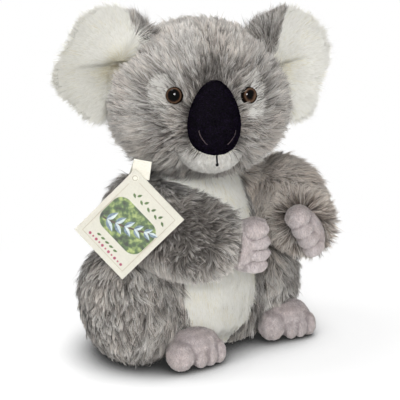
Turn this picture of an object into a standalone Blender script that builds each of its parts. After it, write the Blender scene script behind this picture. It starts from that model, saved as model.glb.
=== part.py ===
"""Sitting plush koala, 0.21 m tall: skins, stuffing, panels, paws, eyes, nose, ears and hang tag.

Metres, +Z up. The toy sits on the plane z = 0 and its body faces -Y, so its left side is +X.
The origin is the middle of the flat seat panel under the body.
"""
import math

import bmesh
import bpy
from mathutils import Matrix, Vector

for old in list(bpy.data.objects):
    bpy.data.objects.remove(old, do_unlink=True)

# Fits between pieces
GAP = 0.0003                     # air kept between two pieces that touch
OVERRUN = 0.006                  # how far a cutter runs past the surface that it cuts
WALL = 0.0024                    # plush backing and pile root of a sewn skin
FILLING_SLACK = 0.0006           # between a skin's inside and the filling pressed against it
FLOOR_LIFT = 0.0003              # haunches and feet clear the floor that the seat panel rests on

# Body, a pear that the seat panel cuts flat
BODY_HALF_WIDTH = 0.050
BODY_HALF_DEPTH = 0.042
BODY_TOP = 0.1275
BODY_SINK = 0.016                # how far below the seat the full pear would reach
BODY_BACK = 0.008                # middle of the body behind the seat's middle
BODY_PEAR_SHARE = 0.22
BODY_ROUND_SHARE = 0.62

# Seat panel and pellet bag
SEAT_HALF_WIDTH = 0.034
SEAT_HALF_DEPTH = 0.027
SEAT_THICK = 0.0016
PELLET_HALF_WIDTH = 0.026
PELLET_HALF_DEPTH = 0.020
PELLET_HALF_HEIGHT = 0.008

# Chest and belly panel
CHEST_HALF_WIDTH = 0.025
CHEST_HALF_HEIGHT = 0.066
CHEST_MIDDLE = 0.068
CHEST_ASIDE = 0.003              # the panel sits a little towards the toy's left

# Neck: head and body meet on a shallow dome about the upright neck axis
NECK_AXIS_X = -0.001
NECK_AXIS_Y = 0.002
DOME_RADIUS = 0.075
DOME_TOP = 0.1235
DOME_EDGE_ANGLE = 54.0
NECK_HOLE_RADIUS = 0.012
NECK_TURN_LIMIT = 15.0           # degrees either way from rest

# Head, in its own frame: its middle is the origin and it faces -Y
HEAD_HALF_WIDTH = 0.0540
HEAD_HALF_DEPTH = 0.0465
HEAD_HALF_HEIGHT = 0.0460
HEAD_CENTRE_X = 0.0
HEAD_CENTRE_Y = -0.004
HEAD_CENTRE_Z = 0.1640
HEAD_TURN = -19.0                # turned towards the toy's right at rest
HEAD_TILT = 2.5                  # its left ear hangs a little lower
HEAD_CHEEK_SHARE = 0.06

# Eyes: domed plastic with a shank and a lock washer inside the head
EYE_RADIUS = 0.0053
EYE_HEIGHT = 0.0040
EYE_ACROSS = 0.0222
EYE_UP = 0.0095
EYE_STEPS = 6
SHANK_RADIUS = 0.0015
SHANK_LENGTH = 0.0095
WASHER_SETBACK = 0.0048          # from the eye's flange to its washer, through the skin
WASHER_RADIUS = 0.0048
WASHER_THICK = 0.0012
PATCH_HALF_WIDTH = 0.0092
PATCH_HALF_HEIGHT = 0.0125
PATCH_OUT = 0.0045

# Muzzle and nose
MUZZLE_HALF_WIDTH = 0.0185
MUZZLE_HALF_DEPTH = 0.0170
MUZZLE_HALF_HEIGHT = 0.0125
MUZZLE_FRONT = 0.0430
MUZZLE_DROP = 0.0230
NOSE_HALF_WIDTH = 0.0150
NOSE_HALF_DEPTH = 0.0125
NOSE_HALF_HEIGHT = 0.0220
NOSE_FRONT = 0.0510
NOSE_DROP = 0.0020
NOSE_PITCH = -8.0
NOSE_TAPER_SHARE = 0.20
NOSTRIL_OUT = 0.0064
NOSTRIL_DROP = 0.0105
NOSTRIL_HALF_WIDTH = 0.0011
NOSTRIL_HALF_HEIGHT = 0.0034
NOSTRIL_DEPTH = 0.0016
NOSTRIL_LEAN = 24.0

# Ears: two sewn layers on a stuffed root that bends on the head
EAR_HALF_WIDTH = 0.0290
EAR_HALF_HEIGHT = 0.0355
EAR_REACH = 0.0130               # from the bending line out to the middle of the ear
EAR_RISE = -0.0045
EAR_THICK = 0.0042               # of each layer at its middle
EAR_CUP = 0.0075
EAR_ROOT_RADIUS = 0.0095
EAR_ROOT_HALF_LENGTH = 0.0245
EAR_LINE_OUT = 0.0435
EAR_LINE_BACK = 0.0040
EAR_LINE_UP = 0.0165
EAR_LINE_LEAN = 24.0
EAR_YAW = {-1.0: 14.0, 1.0: 20.0}     # the left ear is swept back a little more
EAR_BEND_LIMIT = 15.0            # degrees either way from rest
EAR_RING_SHARES = (0.35, 0.70)
EAR_DOME_SHARES = (0.40, 0.75, 0.95)
EAR_EDGE_POWER = 4

# Arms, each from a turning root at the shoulder to a wrist
ARM_ROOT_RADIUS = 0.0175
ARM_ROOT_HALF_HEIGHT = 0.0200
ARM_OPENING_RADIUS = 0.0100
ARM_SHOULDER = {"right": (-0.0400, 0.0020, 0.0960), "left": (0.0460, 0.0060, 0.0940)}
ARM_START = {"right": (-0.0440, 0.0060, 0.1040), "left": (0.0520, 0.0120, 0.0960)}
ARM_BEND = {"right": (-0.0470, -0.0440, 0.0860), "left": (0.0680, -0.0180, 0.0880)}
ARM_WRIST = {"right": (0.0040, -0.0500, 0.0825), "left": (0.0540, -0.0500, 0.0800)}
ARM_START_RADII = {"right": (0.0200, 0.0270), "left": (0.0230, 0.0270)}
ARM_WRIST_RADII = {"right": (0.0170, 0.0250), "left": (0.0210, 0.0260)}
LIMB_ROUND_SHARE = 0.62

# Legs, each a haunch on a turning root behind the hip
LEG_ROOT_RADIUS = 0.0175
LEG_ROOT_HALF_HEIGHT = 0.0260
LEG_ROOT_UP = 0.0300
LEG_OPENING_RADIUS = 0.0080
LEG_HIP = {"right": (-0.0420, 0.0180, LEG_ROOT_UP), "left": (0.0430, 0.0220, LEG_ROOT_UP)}
LEG_CENTRE = {"right": (-0.0470, 0.0010, 0.0345), "left": (0.0485, 0.0060, 0.0310)}
LEG_RADII = {"right": (0.0300, 0.0370, 0.0362), "left": (0.0280, 0.0340, 0.0325)}
LEG_ROUND_SHARE = 0.82
LEG_SPLAY_LIMIT = {"right": 15.0, "left": -15.0}     # how the body turns past a leg that splays fully

# Paws: a pad with digits along its front, in its own frame: X across, -Y along the digits
PAW_MIDDLE = {"hand_right": (0.0056, -0.0508, 0.0795), "hand_left": (0.0523, -0.0500, 0.0825),
              "foot_right": (-0.0190, -0.0320, 0.0120), "foot_left": (0.0545, -0.0238, 0.0120)}
PAW_TURN = {"hand_right": 60.0, "hand_left": -28.0, "foot_right": -22.0, "foot_left": -16.0}
PAW_ROLL = {"hand_right": 90.0, "hand_left": 60.0, "foot_right": 0.0, "foot_left": 0.0}
HAND_PAD = (0.0160, 0.0105, 0.0085)
HAND_DIGIT = (0.0047, 0.0080, 0.0064)
HAND_REACH = 0.0075
HAND_DIGIT_SHARES = (-0.22, 0.24, 0.70)
HAND_THUMB = (0.0068, 0.0085, 0.0074)
HAND_THUMB_SHARE = -0.70
FOOT_PAD = (0.0175, 0.0140, 0.0122)
FOOT_DIGIT = (0.0048, 0.0070, 0.0078)
FOOT_REACH = 0.0090
FOOT_DIGIT_SHARES = (0.10, 0.48, 0.86)
FOOT_THUMB = (0.0092, 0.0105, 0.0098)
FOOT_THUMB_SHARE = -0.62
DIGIT_CURVE_SHARE = 0.45

# Hang tag: folded card on a woven loop in the right shoulder seam
TAG_SPINE = 0.0410
TAG_SIDE = 0.0520
TAG_THICK = 0.0006
TAG_CORNER = (-0.0578, -0.0318, 0.1328)
TAG_AZIMUTH = 41.0
TAG_TILT = 9.0
TAG_ROLL = 43.5
TAG_HOLE_INSET = 0.0038
TAG_HOLE_RADIUS = 0.0013
PIN_RADIUS = 0.0008
PIN_HEAD_RADIUS = 0.0021
PIN_HEAD_THICK = 0.0006
LOOP_HALF_WIDTH = 0.0042
LOOP_THICK = 0.0009
LOOP_SEAM = (-0.0470, -0.0040, 0.1080)     # where the loop runs into the shoulder seam
LOOP_STEPS = 5
LOOP_BEND_SHARE = 0.55

# Facets: pieces that share a seat share these counts
BODY_AROUND = 28
BODY_ALONG = 12
HEAD_AROUND = 28
HEAD_ALONG = 12
INNER_AROUND = 14
INNER_ALONG = 7
LIMB_AROUND = 18
LIMB_ALONG = 9
ROOT_AROUND = 24
ROOT_ALONG = 6
DOME_AROUND = 32
DOME_RINGS = 3
SMALL_AROUND = 14
SMALL_ALONG = 6
PAW_AROUND = 14
PAW_ALONG = 7
DIGIT_AROUND = 8
DIGIT_ALONG = 5
DISC_AROUND = 20
SHARP_ANGLE = 40.0               # faces that meet more sharply keep their edge in the shading
MERGE = 0.000002


def material(name, colour, roughness):
    """Principled material with the piece's plain colour."""
    made = bpy.data.materials.new(name)
    made.use_nodes = True
    shader = made.node_tree.nodes["Principled BSDF"]
    shader.inputs["Base Color"].default_value = (*colour, 1.0)
    shader.inputs["Roughness"].default_value = roughness
    shader.inputs["Metallic"].default_value = 0.0
    made.diffuse_color = (*colour, 1.0)
    return made


def colours_of_the_toy():
    """One material for each kind of cloth, filling and trim."""
    return {
        "grey plush": material("grey plush", (0.30, 0.29, 0.28), 0.95),
        "white plush": material("white plush", (0.80, 0.79, 0.74), 0.95),
        "velour": material("pinkish grey velour", (0.42, 0.36, 0.35), 0.9),
        "suede": material("black suede", (0.015, 0.013, 0.018), 0.85),
        "eye": material("amber eye plastic", (0.05, 0.02, 0.01), 0.1),
        "filling": material("polyester filling", (0.85, 0.85, 0.85), 1.0),
        "pellets": material("pellet bag cloth", (0.70, 0.70, 0.68), 0.9),
        "washer": material("natural nylon", (0.75, 0.75, 0.70), 0.4),
        "ribbon": material("cream satin ribbon", (0.78, 0.74, 0.62), 0.5),
        "card": material("printed card", (0.75, 0.77, 0.66), 0.4),
    }


COLOURS = colours_of_the_toy()


def mesh_from(points, faces):
    """Mesh of listed corners and faces, with its faces turned outwards."""
    shape = bmesh.new()
    corners = [shape.verts.new(point) for point in points]
    for face in faces:
        shape.faces.new([corners[index] for index in face])
    bmesh.ops.recalc_face_normals(shape, faces=shape.faces)
    made = bpy.data.meshes.new("shape")
    shape.to_mesh(made)
    shape.free()
    return made


def closed_rings(start, rings, end):
    """Closed mesh through rings of equal count, between two end points."""
    around = len(rings[0])
    points = [start] + [point for ring in rings for point in ring] + [end]
    last = len(points) - 1
    faces = []
    for turn in range(around):
        after = (turn + 1) % around
        faces.append((0, 1 + after, 1 + turn))
        for level in range(len(rings) - 1):
            low = 1 + level * around
            high = low + around
            faces.append((low + turn, low + after, high + after, high + turn))
        top = 1 + (len(rings) - 1) * around
        faces.append((top + turn, top + after, last))
    return mesh_from(points, faces)


def circle_angles(around):
    return [2.0 * math.pi * turn / around for turn in range(around)]


def blob(centre, radii, around, along, place=None, taper=0.0, cheek=0.0, roundness=1.0):
    """Stuffed ellipsoid about Z.

    taper narrows its top, cheek widens it below the middle, and a roundness under 1 squares its ends.
    """
    place = place or Matrix.Identity(4)
    centre = Vector(centre)
    rings = []
    for level in range(1, along):
        angle = math.pi * level / along
        height = -math.cos(angle)
        width = math.sin(angle) ** roundness * (1.0 - taper * height)
        width *= 1.0 + cheek * math.sin(math.pi * height) * (-1.0)
        rings.append([place @ (centre + Vector((radii[0] * width * math.cos(turn),
                                                radii[1] * width * math.sin(turn),
                                                radii[2] * height)))
                      for turn in circle_angles(around)])
    low = place @ (centre - Vector((0.0, 0.0, radii[2])))
    high = place @ (centre + Vector((0.0, 0.0, radii[2])))
    return closed_rings(low, rings, high)


def turned(profile, around, place=None):
    """Solid of revolution about Z through (radius, height) pairs, closed on the axis."""
    place = place or Matrix.Identity(4)
    start = place @ Vector((0.0, 0.0, profile[0][1]))
    end = place @ Vector((0.0, 0.0, profile[-1][1]))
    rings = []
    for radius, height in profile:
        if radius > 0.0:
            rings.append([place @ Vector((radius * math.cos(turn), radius * math.sin(turn), height))
                          for turn in circle_angles(around)])
    return closed_rings(start, rings, end)


def rod(radius, low, high, around, place=None):
    return turned([(radius, low), (radius, high)], around, place)


def oval_prism(half_width, half_height, near, far, around, place):
    """Oval bar along the local Z axis."""
    rings = []
    for height in (near, far):
        rings.append([place @ Vector((half_width * math.cos(turn), half_height * math.sin(turn), height))
                      for turn in circle_angles(around)])
    return closed_rings(place @ Vector((0.0, 0.0, near)), rings, place @ Vector((0.0, 0.0, far)))


def box(low, high, place=None):
    """Straight box between two corners of its own frame."""
    place = place or Matrix.Identity(4)
    points = [place @ Vector((x, y, z)) for x in (low[0], high[0]) for y in (low[1], high[1])
              for z in (low[2], high[2])]
    faces = [(0, 1, 3, 2), (4, 6, 7, 5), (0, 4, 5, 1), (2, 3, 7, 6), (0, 2, 6, 4), (1, 5, 7, 3)]
    return mesh_from(points, faces)


def limb(start, bend, end, start_radii, end_radii, around, along, grow=0.0):
    """Swept stuffed form: it swells and tapers along a curve through three points.

    The radii are (across, upright) at the start and the end.
    """
    start, bend, end = Vector(start), Vector(bend), Vector(end)
    lead = (start - bend).normalized() * grow
    tail = (end - bend).normalized() * grow
    start, end = start + lead, end + tail

    def on_path(share):
        return start * (1 - share) ** 2 + bend * 2 * share * (1 - share) + end * share ** 2

    rings = []
    for level in range(1, along):
        angle = math.pi * level / along
        share = (1.0 - math.cos(angle)) / 2.0
        swell = math.sin(angle) ** LIMB_ROUND_SHARE
        heading = (bend - start) * (1 - share) + (end - bend) * share
        side = heading.cross(Vector((0.0, 0.0, 1.0))).normalized()
        upright = side.cross(heading.normalized())
        across = (start_radii[0] * (1 - share) + end_radii[0] * share + grow) * swell
        tall = (start_radii[1] * (1 - share) + end_radii[1] * share + grow) * swell
        middle = on_path(share)
        rings.append([middle + side * across * math.cos(turn) + upright * tall * math.sin(turn)
                      for turn in circle_angles(around)])
    return closed_rings(start, rings, end)


def boolean(base, tool, operation):
    """Mesh of base after an exact Boolean with tool. Both are used up."""
    target = bpy.data.objects.new("target", base)
    cutter = bpy.data.objects.new("cutter", tool)
    for item in (target, cutter):
        bpy.context.scene.collection.objects.link(item)
    change = target.modifiers.new("Boolean", "BOOLEAN")
    change.operation = operation
    change.solver = "EXACT"
    change.object = cutter
    graph = bpy.context.evaluated_depsgraph_get()
    made = bpy.data.meshes.new_from_object(target.evaluated_get(graph))
    for item in (target, cutter):
        bpy.data.objects.remove(item, do_unlink=True)
    shape = bmesh.new()
    shape.from_mesh(made)
    bmesh.ops.remove_doubles(shape, verts=shape.verts, dist=MERGE)
    bmesh.ops.dissolve_degenerate(shape, dist=MERGE, edges=shape.edges)
    shape.to_mesh(made)
    shape.free()
    return made


def less(base, *tools):
    for tool in tools:
        base = boolean(base, tool, "DIFFERENCE")
    return base


def joined(base, *tools):
    for tool in tools:
        base = boolean(base, tool, "UNION")
    return base


def shared(base, *tools):
    for tool in tools:
        base = boolean(base, tool, "INTERSECT")
    return base


def carrier(name, point, parent=None):
    """Empty on a joint's axis; the pieces of its moving body hang from it."""
    made = bpy.data.objects.new(name, None)
    bpy.context.scene.collection.objects.link(made)
    made["place"] = tuple(point)
    made.location = Vector(point)
    if parent:
        made.parent = parent
        made.location = Vector(point) - Vector(parent["place"])
    return made


def node(name, shape, colour, body):
    """One sub-part, with its origin at its body's carrier."""
    shape.transform(Matrix.Translation(-Vector(body["place"])))
    shape.materials.clear()
    shape.materials.append(COLOURS[colour])
    shape.name = name
    shape.shade_smooth()
    shape.set_sharp_from_angle(angle=math.radians(SHARP_ANGLE))
    made = bpy.data.objects.new(name, shape)
    bpy.context.scene.collection.objects.link(made)
    made.parent = body
    return made


def above(height):
    """Large block over a level, to keep what lies above it."""
    reach = BODY_HALF_WIDTH * 4
    return box((-reach, -reach, height), (reach, reach, reach * 2))


def turned_copies(make_shape, frame, angles):
    """The same shape turned about a frame's Z axis, to clear the way of a moving neighbour."""
    copies = []
    for angle in angles:
        shape = make_shape()
        shape.transform(frame @ Matrix.Rotation(math.radians(angle), 4, "Z") @ frame.inverted())
        copies.append(shape)
    return copies


# Body


def body_form(grow, around=BODY_AROUND, along=BODY_ALONG):
    """Pear of the body, larger all round by grow."""
    low = -BODY_SINK - grow
    high = BODY_TOP + grow
    middle = (low + high) / 2.0
    half = (high - low) / 2.0
    rings = []
    for level in range(1, along):
        angle = math.pi * level / along
        width = math.sin(angle) ** BODY_ROUND_SHARE * (1.0 + BODY_PEAR_SHARE * math.cos(angle))
        rings.append([Vector(((BODY_HALF_WIDTH + grow) * width * math.cos(turn),
                              BODY_BACK + (BODY_HALF_DEPTH + grow) * width * math.sin(turn),
                              middle - half * math.cos(angle)))
                      for turn in circle_angles(around)])
    return closed_rings(Vector((0.0, BODY_BACK, low)), rings, Vector((0.0, BODY_BACK, high)))


def dome(grow):
    """Shallow dome on the neck axis that carries the head, larger by grow."""
    radius = DOME_RADIUS + grow
    centre = DOME_TOP - DOME_RADIUS
    place = Matrix.Translation((NECK_AXIS_X, NECK_AXIS_Y, centre))
    profile = [(0.0, -radius)]
    edge = math.radians(DOME_EDGE_ANGLE)
    profile.append((radius * math.sin(edge), -radius))
    for ring in range(DOME_RINGS, 0, -1):
        angle = edge * ring / DOME_RINGS
        profile.append((radius * math.sin(angle), radius * math.cos(angle)))
    profile.append((0.0, radius))
    return turned(profile, DOME_AROUND, place)


def neck_hole():
    place = Matrix.Translation((NECK_AXIS_X, NECK_AXIS_Y, DOME_TOP))
    return rod(NECK_HOLE_RADIUS, -BODY_SINK - WALL, BODY_SINK + WALL, DISC_AROUND, place)


CHEST_PLACE = Matrix.Translation((CHEST_ASIDE, 0.0, CHEST_MIDDLE)) @ Matrix.Rotation(math.pi / 2.0, 4, "X")


def chest_bar(grow):
    """Oval bar that outlines the chest and belly panel in the body's front."""
    return oval_prism(CHEST_HALF_WIDTH + grow, CHEST_HALF_HEIGHT + grow,
                      0.0, BODY_HALF_DEPTH * 2, DISC_AROUND, CHEST_PLACE)


def seat_disc(grow, low, high):
    place = Matrix.Translation((0.0, BODY_BACK, 0.0))
    return oval_prism(SEAT_HALF_WIDTH + grow, SEAT_HALF_DEPTH + grow, low, high, BODY_AROUND, place)


def pellet_form(grow):
    centre = (0.0, BODY_BACK, SEAT_THICK + GAP + PELLET_HALF_HEIGHT)
    radii = (PELLET_HALF_WIDTH + grow, PELLET_HALF_DEPTH + grow, PELLET_HALF_HEIGHT + grow)
    return blob(centre, radii, INNER_AROUND, INNER_ALONG)


def sockets(grow):
    """Seats of the four limb roots in the body."""
    return [root(word, grow) for root in (arm_root, leg_root) for word in ("right", "left")]


def make_body(carriers):
    base = carriers["body"]
    skin = less(body_form(0.0), body_form(-WALL, INNER_AROUND, INNER_ALONG))
    skin = shared(skin, dome(0.0))
    skin = less(skin, neck_hole(), chest_bar(0.0), *sockets(GAP))
    skin = shared(skin, above(0.0))
    skin = less(skin, seat_disc(GAP, -OVERRUN, SEAT_THICK + WALL))
    node("torso_skin", skin, "grey plush", base)
    panel = less(body_form(0.0), body_form(-WALL, INNER_AROUND, INNER_ALONG))
    panel = shared(panel, chest_bar(-GAP), dome(0.0))
    panel = shared(panel, above(GAP))
    node("chest_panel", panel, "white plush", base)
    filling = shared(body_form(-WALL - FILLING_SLACK, INNER_AROUND, INNER_ALONG), dome(0.0))
    filling = less(filling, *sockets(GAP))
    filling = shared(filling, above(SEAT_THICK + GAP))
    filling = less(filling, pellet_form(GAP), pellet_mouth())
    node("torso_filling", filling, "filling", base)
    node("pellet_bag", shared(pellet_form(0.0), above(SEAT_THICK + GAP + GAP)), "pellets", base)
    node("seat_panel", seat_disc(0.0, 0.0, SEAT_THICK), "grey plush", base)


def pellet_mouth():
    """Opening of the bag's pocket onto the seat panel."""
    place = Matrix.Translation((0.0, BODY_BACK, 0.0))
    return oval_prism(PELLET_HALF_WIDTH / 2, PELLET_HALF_DEPTH / 2, -OVERRUN,
                      SEAT_THICK + PELLET_HALF_HEIGHT, INNER_AROUND, place)


# Head

HEAD_PLACE = (Matrix.Translation((HEAD_CENTRE_X, HEAD_CENTRE_Y, HEAD_CENTRE_Z))
              @ Matrix.Rotation(math.radians(HEAD_TURN), 4, "Z")
              @ Matrix.Rotation(math.radians(HEAD_TILT), 4, "Y"))


def head_form(grow, around=HEAD_AROUND, along=HEAD_ALONG):
    radii = (HEAD_HALF_WIDTH + grow, HEAD_HALF_DEPTH + grow, HEAD_HALF_HEIGHT + grow)
    return blob((0.0, 0.0, 0.0), radii, around, along, HEAD_PLACE, cheek=HEAD_CHEEK_SHARE)


def facing(point, direction):
    """Frame at a point of the head whose Z axis runs outwards along a direction."""
    turn = Vector((0.0, 0.0, 1.0)).rotation_difference(Vector(direction).normalized())
    return HEAD_PLACE @ Matrix.Translation(point) @ turn.to_matrix().to_4x4()


def head_surface(across, up):
    """Point of the head's front over a place across and up, and its outward direction."""
    height = up / HEAD_HALF_HEIGHT
    widen = 1.0 - HEAD_CHEEK_SHARE * math.sin(math.pi * height)
    across_share = across / (HEAD_HALF_WIDTH * widen)
    depth = HEAD_HALF_DEPTH * widen * math.sqrt(1.0 - height ** 2 - across_share ** 2)
    direction = (across / HEAD_HALF_WIDTH ** 2, -depth / HEAD_HALF_DEPTH ** 2, up / HEAD_HALF_HEIGHT ** 2)
    return Vector((across, -depth, up)), Vector(direction).normalized()


def eye_place(side):
    point, direction = head_surface(side * EYE_ACROSS, EYE_UP)
    return facing(point + direction * GAP, direction)


def eye_profile():
    """Shank, flange and dome of a safety eye, from the inside out."""
    points = [(0.0, -SHANK_LENGTH), (SHANK_RADIUS, -SHANK_LENGTH), (SHANK_RADIUS, 0.0), (EYE_RADIUS, 0.0)]
    for step in range(1, EYE_STEPS):
        angle = math.pi / 2.0 * step / EYE_STEPS
        points.append((EYE_RADIUS * math.cos(angle), EYE_HEIGHT * math.sin(angle)))
    points.append((0.0, EYE_HEIGHT))
    return points


def shank_bore(side):
    """Bore for the shank and the pocket for its washer, on the eye's axis."""
    place = eye_place(side)
    bore = rod(SHANK_RADIUS + GAP, -SHANK_LENGTH - GAP, EYE_HEIGHT, SMALL_AROUND, place)
    pocket = rod(WASHER_RADIUS + GAP, -WASHER_SETBACK - WASHER_THICK - GAP, EYE_HEIGHT, SMALL_AROUND, place)
    return bore, pocket


def patch_bar(side, grow):
    """Oval bar that outlines the white patch round an eye."""
    point, direction = head_surface(side * (EYE_ACROSS + PATCH_OUT), EYE_UP)
    return oval_prism(PATCH_HALF_WIDTH + grow, PATCH_HALF_HEIGHT + grow, -WALL * 3, OVERRUN,
                      DISC_AROUND, facing(point, (direction.x, direction.y, 0.0)))


def muzzle_form(grow):
    radii = (MUZZLE_HALF_WIDTH + grow, MUZZLE_HALF_DEPTH + grow, MUZZLE_HALF_HEIGHT + grow)
    return blob((0.0, -MUZZLE_FRONT, -MUZZLE_DROP), radii, LIMB_AROUND, LIMB_ALONG, HEAD_PLACE)


def nose_place():
    return (HEAD_PLACE @ Matrix.Translation((0.0, -NOSE_FRONT, -NOSE_DROP))
            @ Matrix.Rotation(math.radians(NOSE_PITCH), 4, "X"))


def nostril(side):
    place = (nose_place() @ Matrix.Translation((side * NOSTRIL_OUT, -NOSE_HALF_DEPTH, -NOSTRIL_DROP))
             @ Matrix.Rotation(math.radians(side * NOSTRIL_LEAN), 4, "Y"))
    radii = (NOSTRIL_HALF_WIDTH, NOSTRIL_DEPTH * 2, NOSTRIL_HALF_HEIGHT)
    return blob((0.0, NOSTRIL_DEPTH, 0.0), radii, DIGIT_AROUND, DIGIT_ALONG, place)


def make_head(carriers):
    base = carriers["head"]
    bores = []
    pockets = []
    for side in (-1.0, 1.0):
        bore, pocket = shank_bore(side)
        bores.append(bore)
        pockets.append(pocket)
    skin = less(head_form(0.0), head_form(-WALL, INNER_AROUND, INNER_ALONG))
    skin = less(skin, dome(GAP), neck_hole(), ear_root(-1.0, GAP), ear_root(1.0, GAP))
    skin = less(skin, patch_bar(-1.0, 0.0), patch_bar(1.0, 0.0))
    node("head_skin", skin, "grey plush", base)
    filling = less(head_form(-WALL - FILLING_SLACK, INNER_AROUND, INNER_ALONG), dome(GAP))
    filling = less(filling, ear_root(-1.0, GAP), ear_root(1.0, GAP), *bores, *pockets)
    node("head_filling", filling, "filling", base)
    for side, word in ((-1.0, "right"), (1.0, "left")):
        patch = less(head_form(0.0), head_form(-WALL, INNER_AROUND, INNER_ALONG))
        patch = shared(patch, patch_bar(side, -GAP))
        patch = less(patch, shank_bore(side)[0])
        node("eye_patch_" + word, patch, "white plush", base)
        node("eye_" + word, turned(eye_profile(), SMALL_AROUND, eye_place(side)), "eye", base)
        disc = rod(WASHER_RADIUS, -WASHER_SETBACK - WASHER_THICK, -WASHER_SETBACK, SMALL_AROUND,
                   eye_place(side))
        disc = less(disc, rod(SHANK_RADIUS + GAP, -SHANK_LENGTH, 0.0, SMALL_AROUND, eye_place(side)))
        node("eye_washer_" + word, disc, "washer", base)
    muzzle = less(muzzle_form(0.0), head_form(GAP))
    node("muzzle", muzzle, "white plush", base)
    nose = blob((0.0, 0.0, 0.0), (NOSE_HALF_WIDTH, NOSE_HALF_DEPTH, NOSE_HALF_HEIGHT), DISC_AROUND,
                BODY_ALONG, nose_place(), taper=NOSE_TAPER_SHARE)
    nose = less(nose, head_form(GAP), muzzle_form(GAP), nostril(-1.0), nostril(1.0))
    node("nose", nose, "suede", base)


# Ears


def ear_place(side):
    """Frame on the line that the ear bends about: X outwards, Y backwards, Z up the line."""
    return (HEAD_PLACE @ Matrix.Translation((side * EAR_LINE_OUT, EAR_LINE_BACK, EAR_LINE_UP))
            @ Matrix.Rotation(math.radians(-side * EAR_LINE_LEAN), 4, "Y")
            @ Matrix.Rotation(math.radians(side * EAR_YAW[side]), 4, "Z"))


def ear_root(side, grow):
    radii = (EAR_ROOT_RADIUS + grow, EAR_ROOT_RADIUS + grow, EAR_ROOT_HALF_LENGTH + grow)
    return blob((0.0, 0.0, 0.0), radii, ROOT_AROUND, SMALL_ALONG, ear_place(side))


def ear_layer(side, front):
    """Front or back layer of the cupped ear: flat against the other, domed outside."""
    place = ear_place(side)
    bulge = -EAR_THICK if front else EAR_THICK
    flat = -GAP / 2.0 if front else GAP / 2.0

    def point(share, turn, depth):
        out = share * math.cos(turn)
        rise = share * math.sin(turn)
        cup = -EAR_CUP * (out ** 2 + rise ** 2)
        return place @ Vector((side * (EAR_REACH + EAR_HALF_WIDTH * out), cup + depth,
                               EAR_RISE + EAR_HALF_HEIGHT * rise))

    angles = circle_angles(LIMB_AROUND)
    flat_rings = [[point(share, turn, flat) for turn in angles] for share in EAR_RING_SHARES]
    rim = [[point(1.0, turn, flat) for turn in angles]]
    domed_rings = [[point(share, turn, flat + bulge * math.sqrt(1.0 - share ** EAR_EDGE_POWER))
                    for turn in angles] for share in reversed(EAR_DOME_SHARES)]
    start = point(0.0, 0.0, flat)
    end = point(0.0, 0.0, flat + bulge)
    return closed_rings(start, flat_rings + rim + domed_rings, end)


def head_clearances(side):
    """The head as the ear meets it at rest and at both ends of its bend."""
    return turned_copies(lambda: head_form(GAP), ear_place(side), (0.0, -EAR_BEND_LIMIT, EAR_BEND_LIMIT))


def make_ears(carriers):
    for side, word in ((-1.0, "right"), (1.0, "left")):
        base = carriers["ear_" + word]
        back = less(ear_layer(side, False), *head_clearances(side))
        node("ear_back_" + word, joined(back, ear_root(side, 0.0)), "grey plush", base)
        front = less(ear_layer(side, True), ear_root(side, GAP), *head_clearances(side))
        node("ear_front_" + word, front, "white plush", base)


# Arms


def arm_root(word, grow, around=ROOT_AROUND):
    radii = (ARM_ROOT_RADIUS + grow, ARM_ROOT_RADIUS + grow, ARM_ROOT_HALF_HEIGHT + grow)
    return blob(ARM_SHOULDER[word], radii, around, ROOT_ALONG)


def arm_form(word, grow, around=LIMB_AROUND, along=LIMB_ALONG):
    return limb(ARM_START[word], ARM_BEND[word], ARM_WRIST[word], ARM_START_RADII[word],
                ARM_WRIST_RADII[word], around, along, grow)


def arm_solid(word, grow, around=LIMB_AROUND, along=LIMB_ALONG):
    """Arm outside the body and clear of the turning head, with its turning root."""
    neck = Matrix.Translation((NECK_AXIS_X, NECK_AXIS_Y, DOME_TOP))
    heads = turned_copies(lambda: head_form(GAP - grow), neck, (0.0, -NECK_TURN_LIMIT, NECK_TURN_LIMIT))
    arm = less(arm_form(word, grow, around, along), body_form(GAP - grow), *heads)
    return joined(arm, arm_root(word, grow, ROOT_AROUND if grow == 0.0 else around))


# Paws


def paw_form(place, pad, digit, reach, shares, thumb, thumb_share):
    """Pad with three digits and a bigger first one in an arc at its front, as one sewn shape."""
    shape = blob((0.0, 0.0, 0.0), pad, PAW_AROUND, PAW_ALONG, place)
    for share, radii in [(share, digit) for share in shares] + [(thumb_share, thumb)]:
        centre = (pad[0] * share, -reach * (1.0 - DIGIT_CURVE_SHARE * share ** 2), radii[2] - pad[2])
        shape = joined(shape, blob(centre, radii, DIGIT_AROUND, DIGIT_ALONG, place))
    return shape


def hand_form(word):
    place = paw_place("hand_" + word)
    return paw_form(place, HAND_PAD, HAND_DIGIT, HAND_REACH, HAND_DIGIT_SHARES, HAND_THUMB, HAND_THUMB_SHARE)


def foot_form(word):
    place = paw_place("foot_" + word)
    return paw_form(place, FOOT_PAD, FOOT_DIGIT, FOOT_REACH, FOOT_DIGIT_SHARES, FOOT_THUMB, FOOT_THUMB_SHARE)


def paw_place(name):
    return (Matrix.Translation(PAW_MIDDLE[name]) @ Matrix.Rotation(math.radians(PAW_TURN[name]), 4, "Z")
            @ Matrix.Rotation(math.radians(PAW_ROLL[name]), 4, "Y"))


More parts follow.
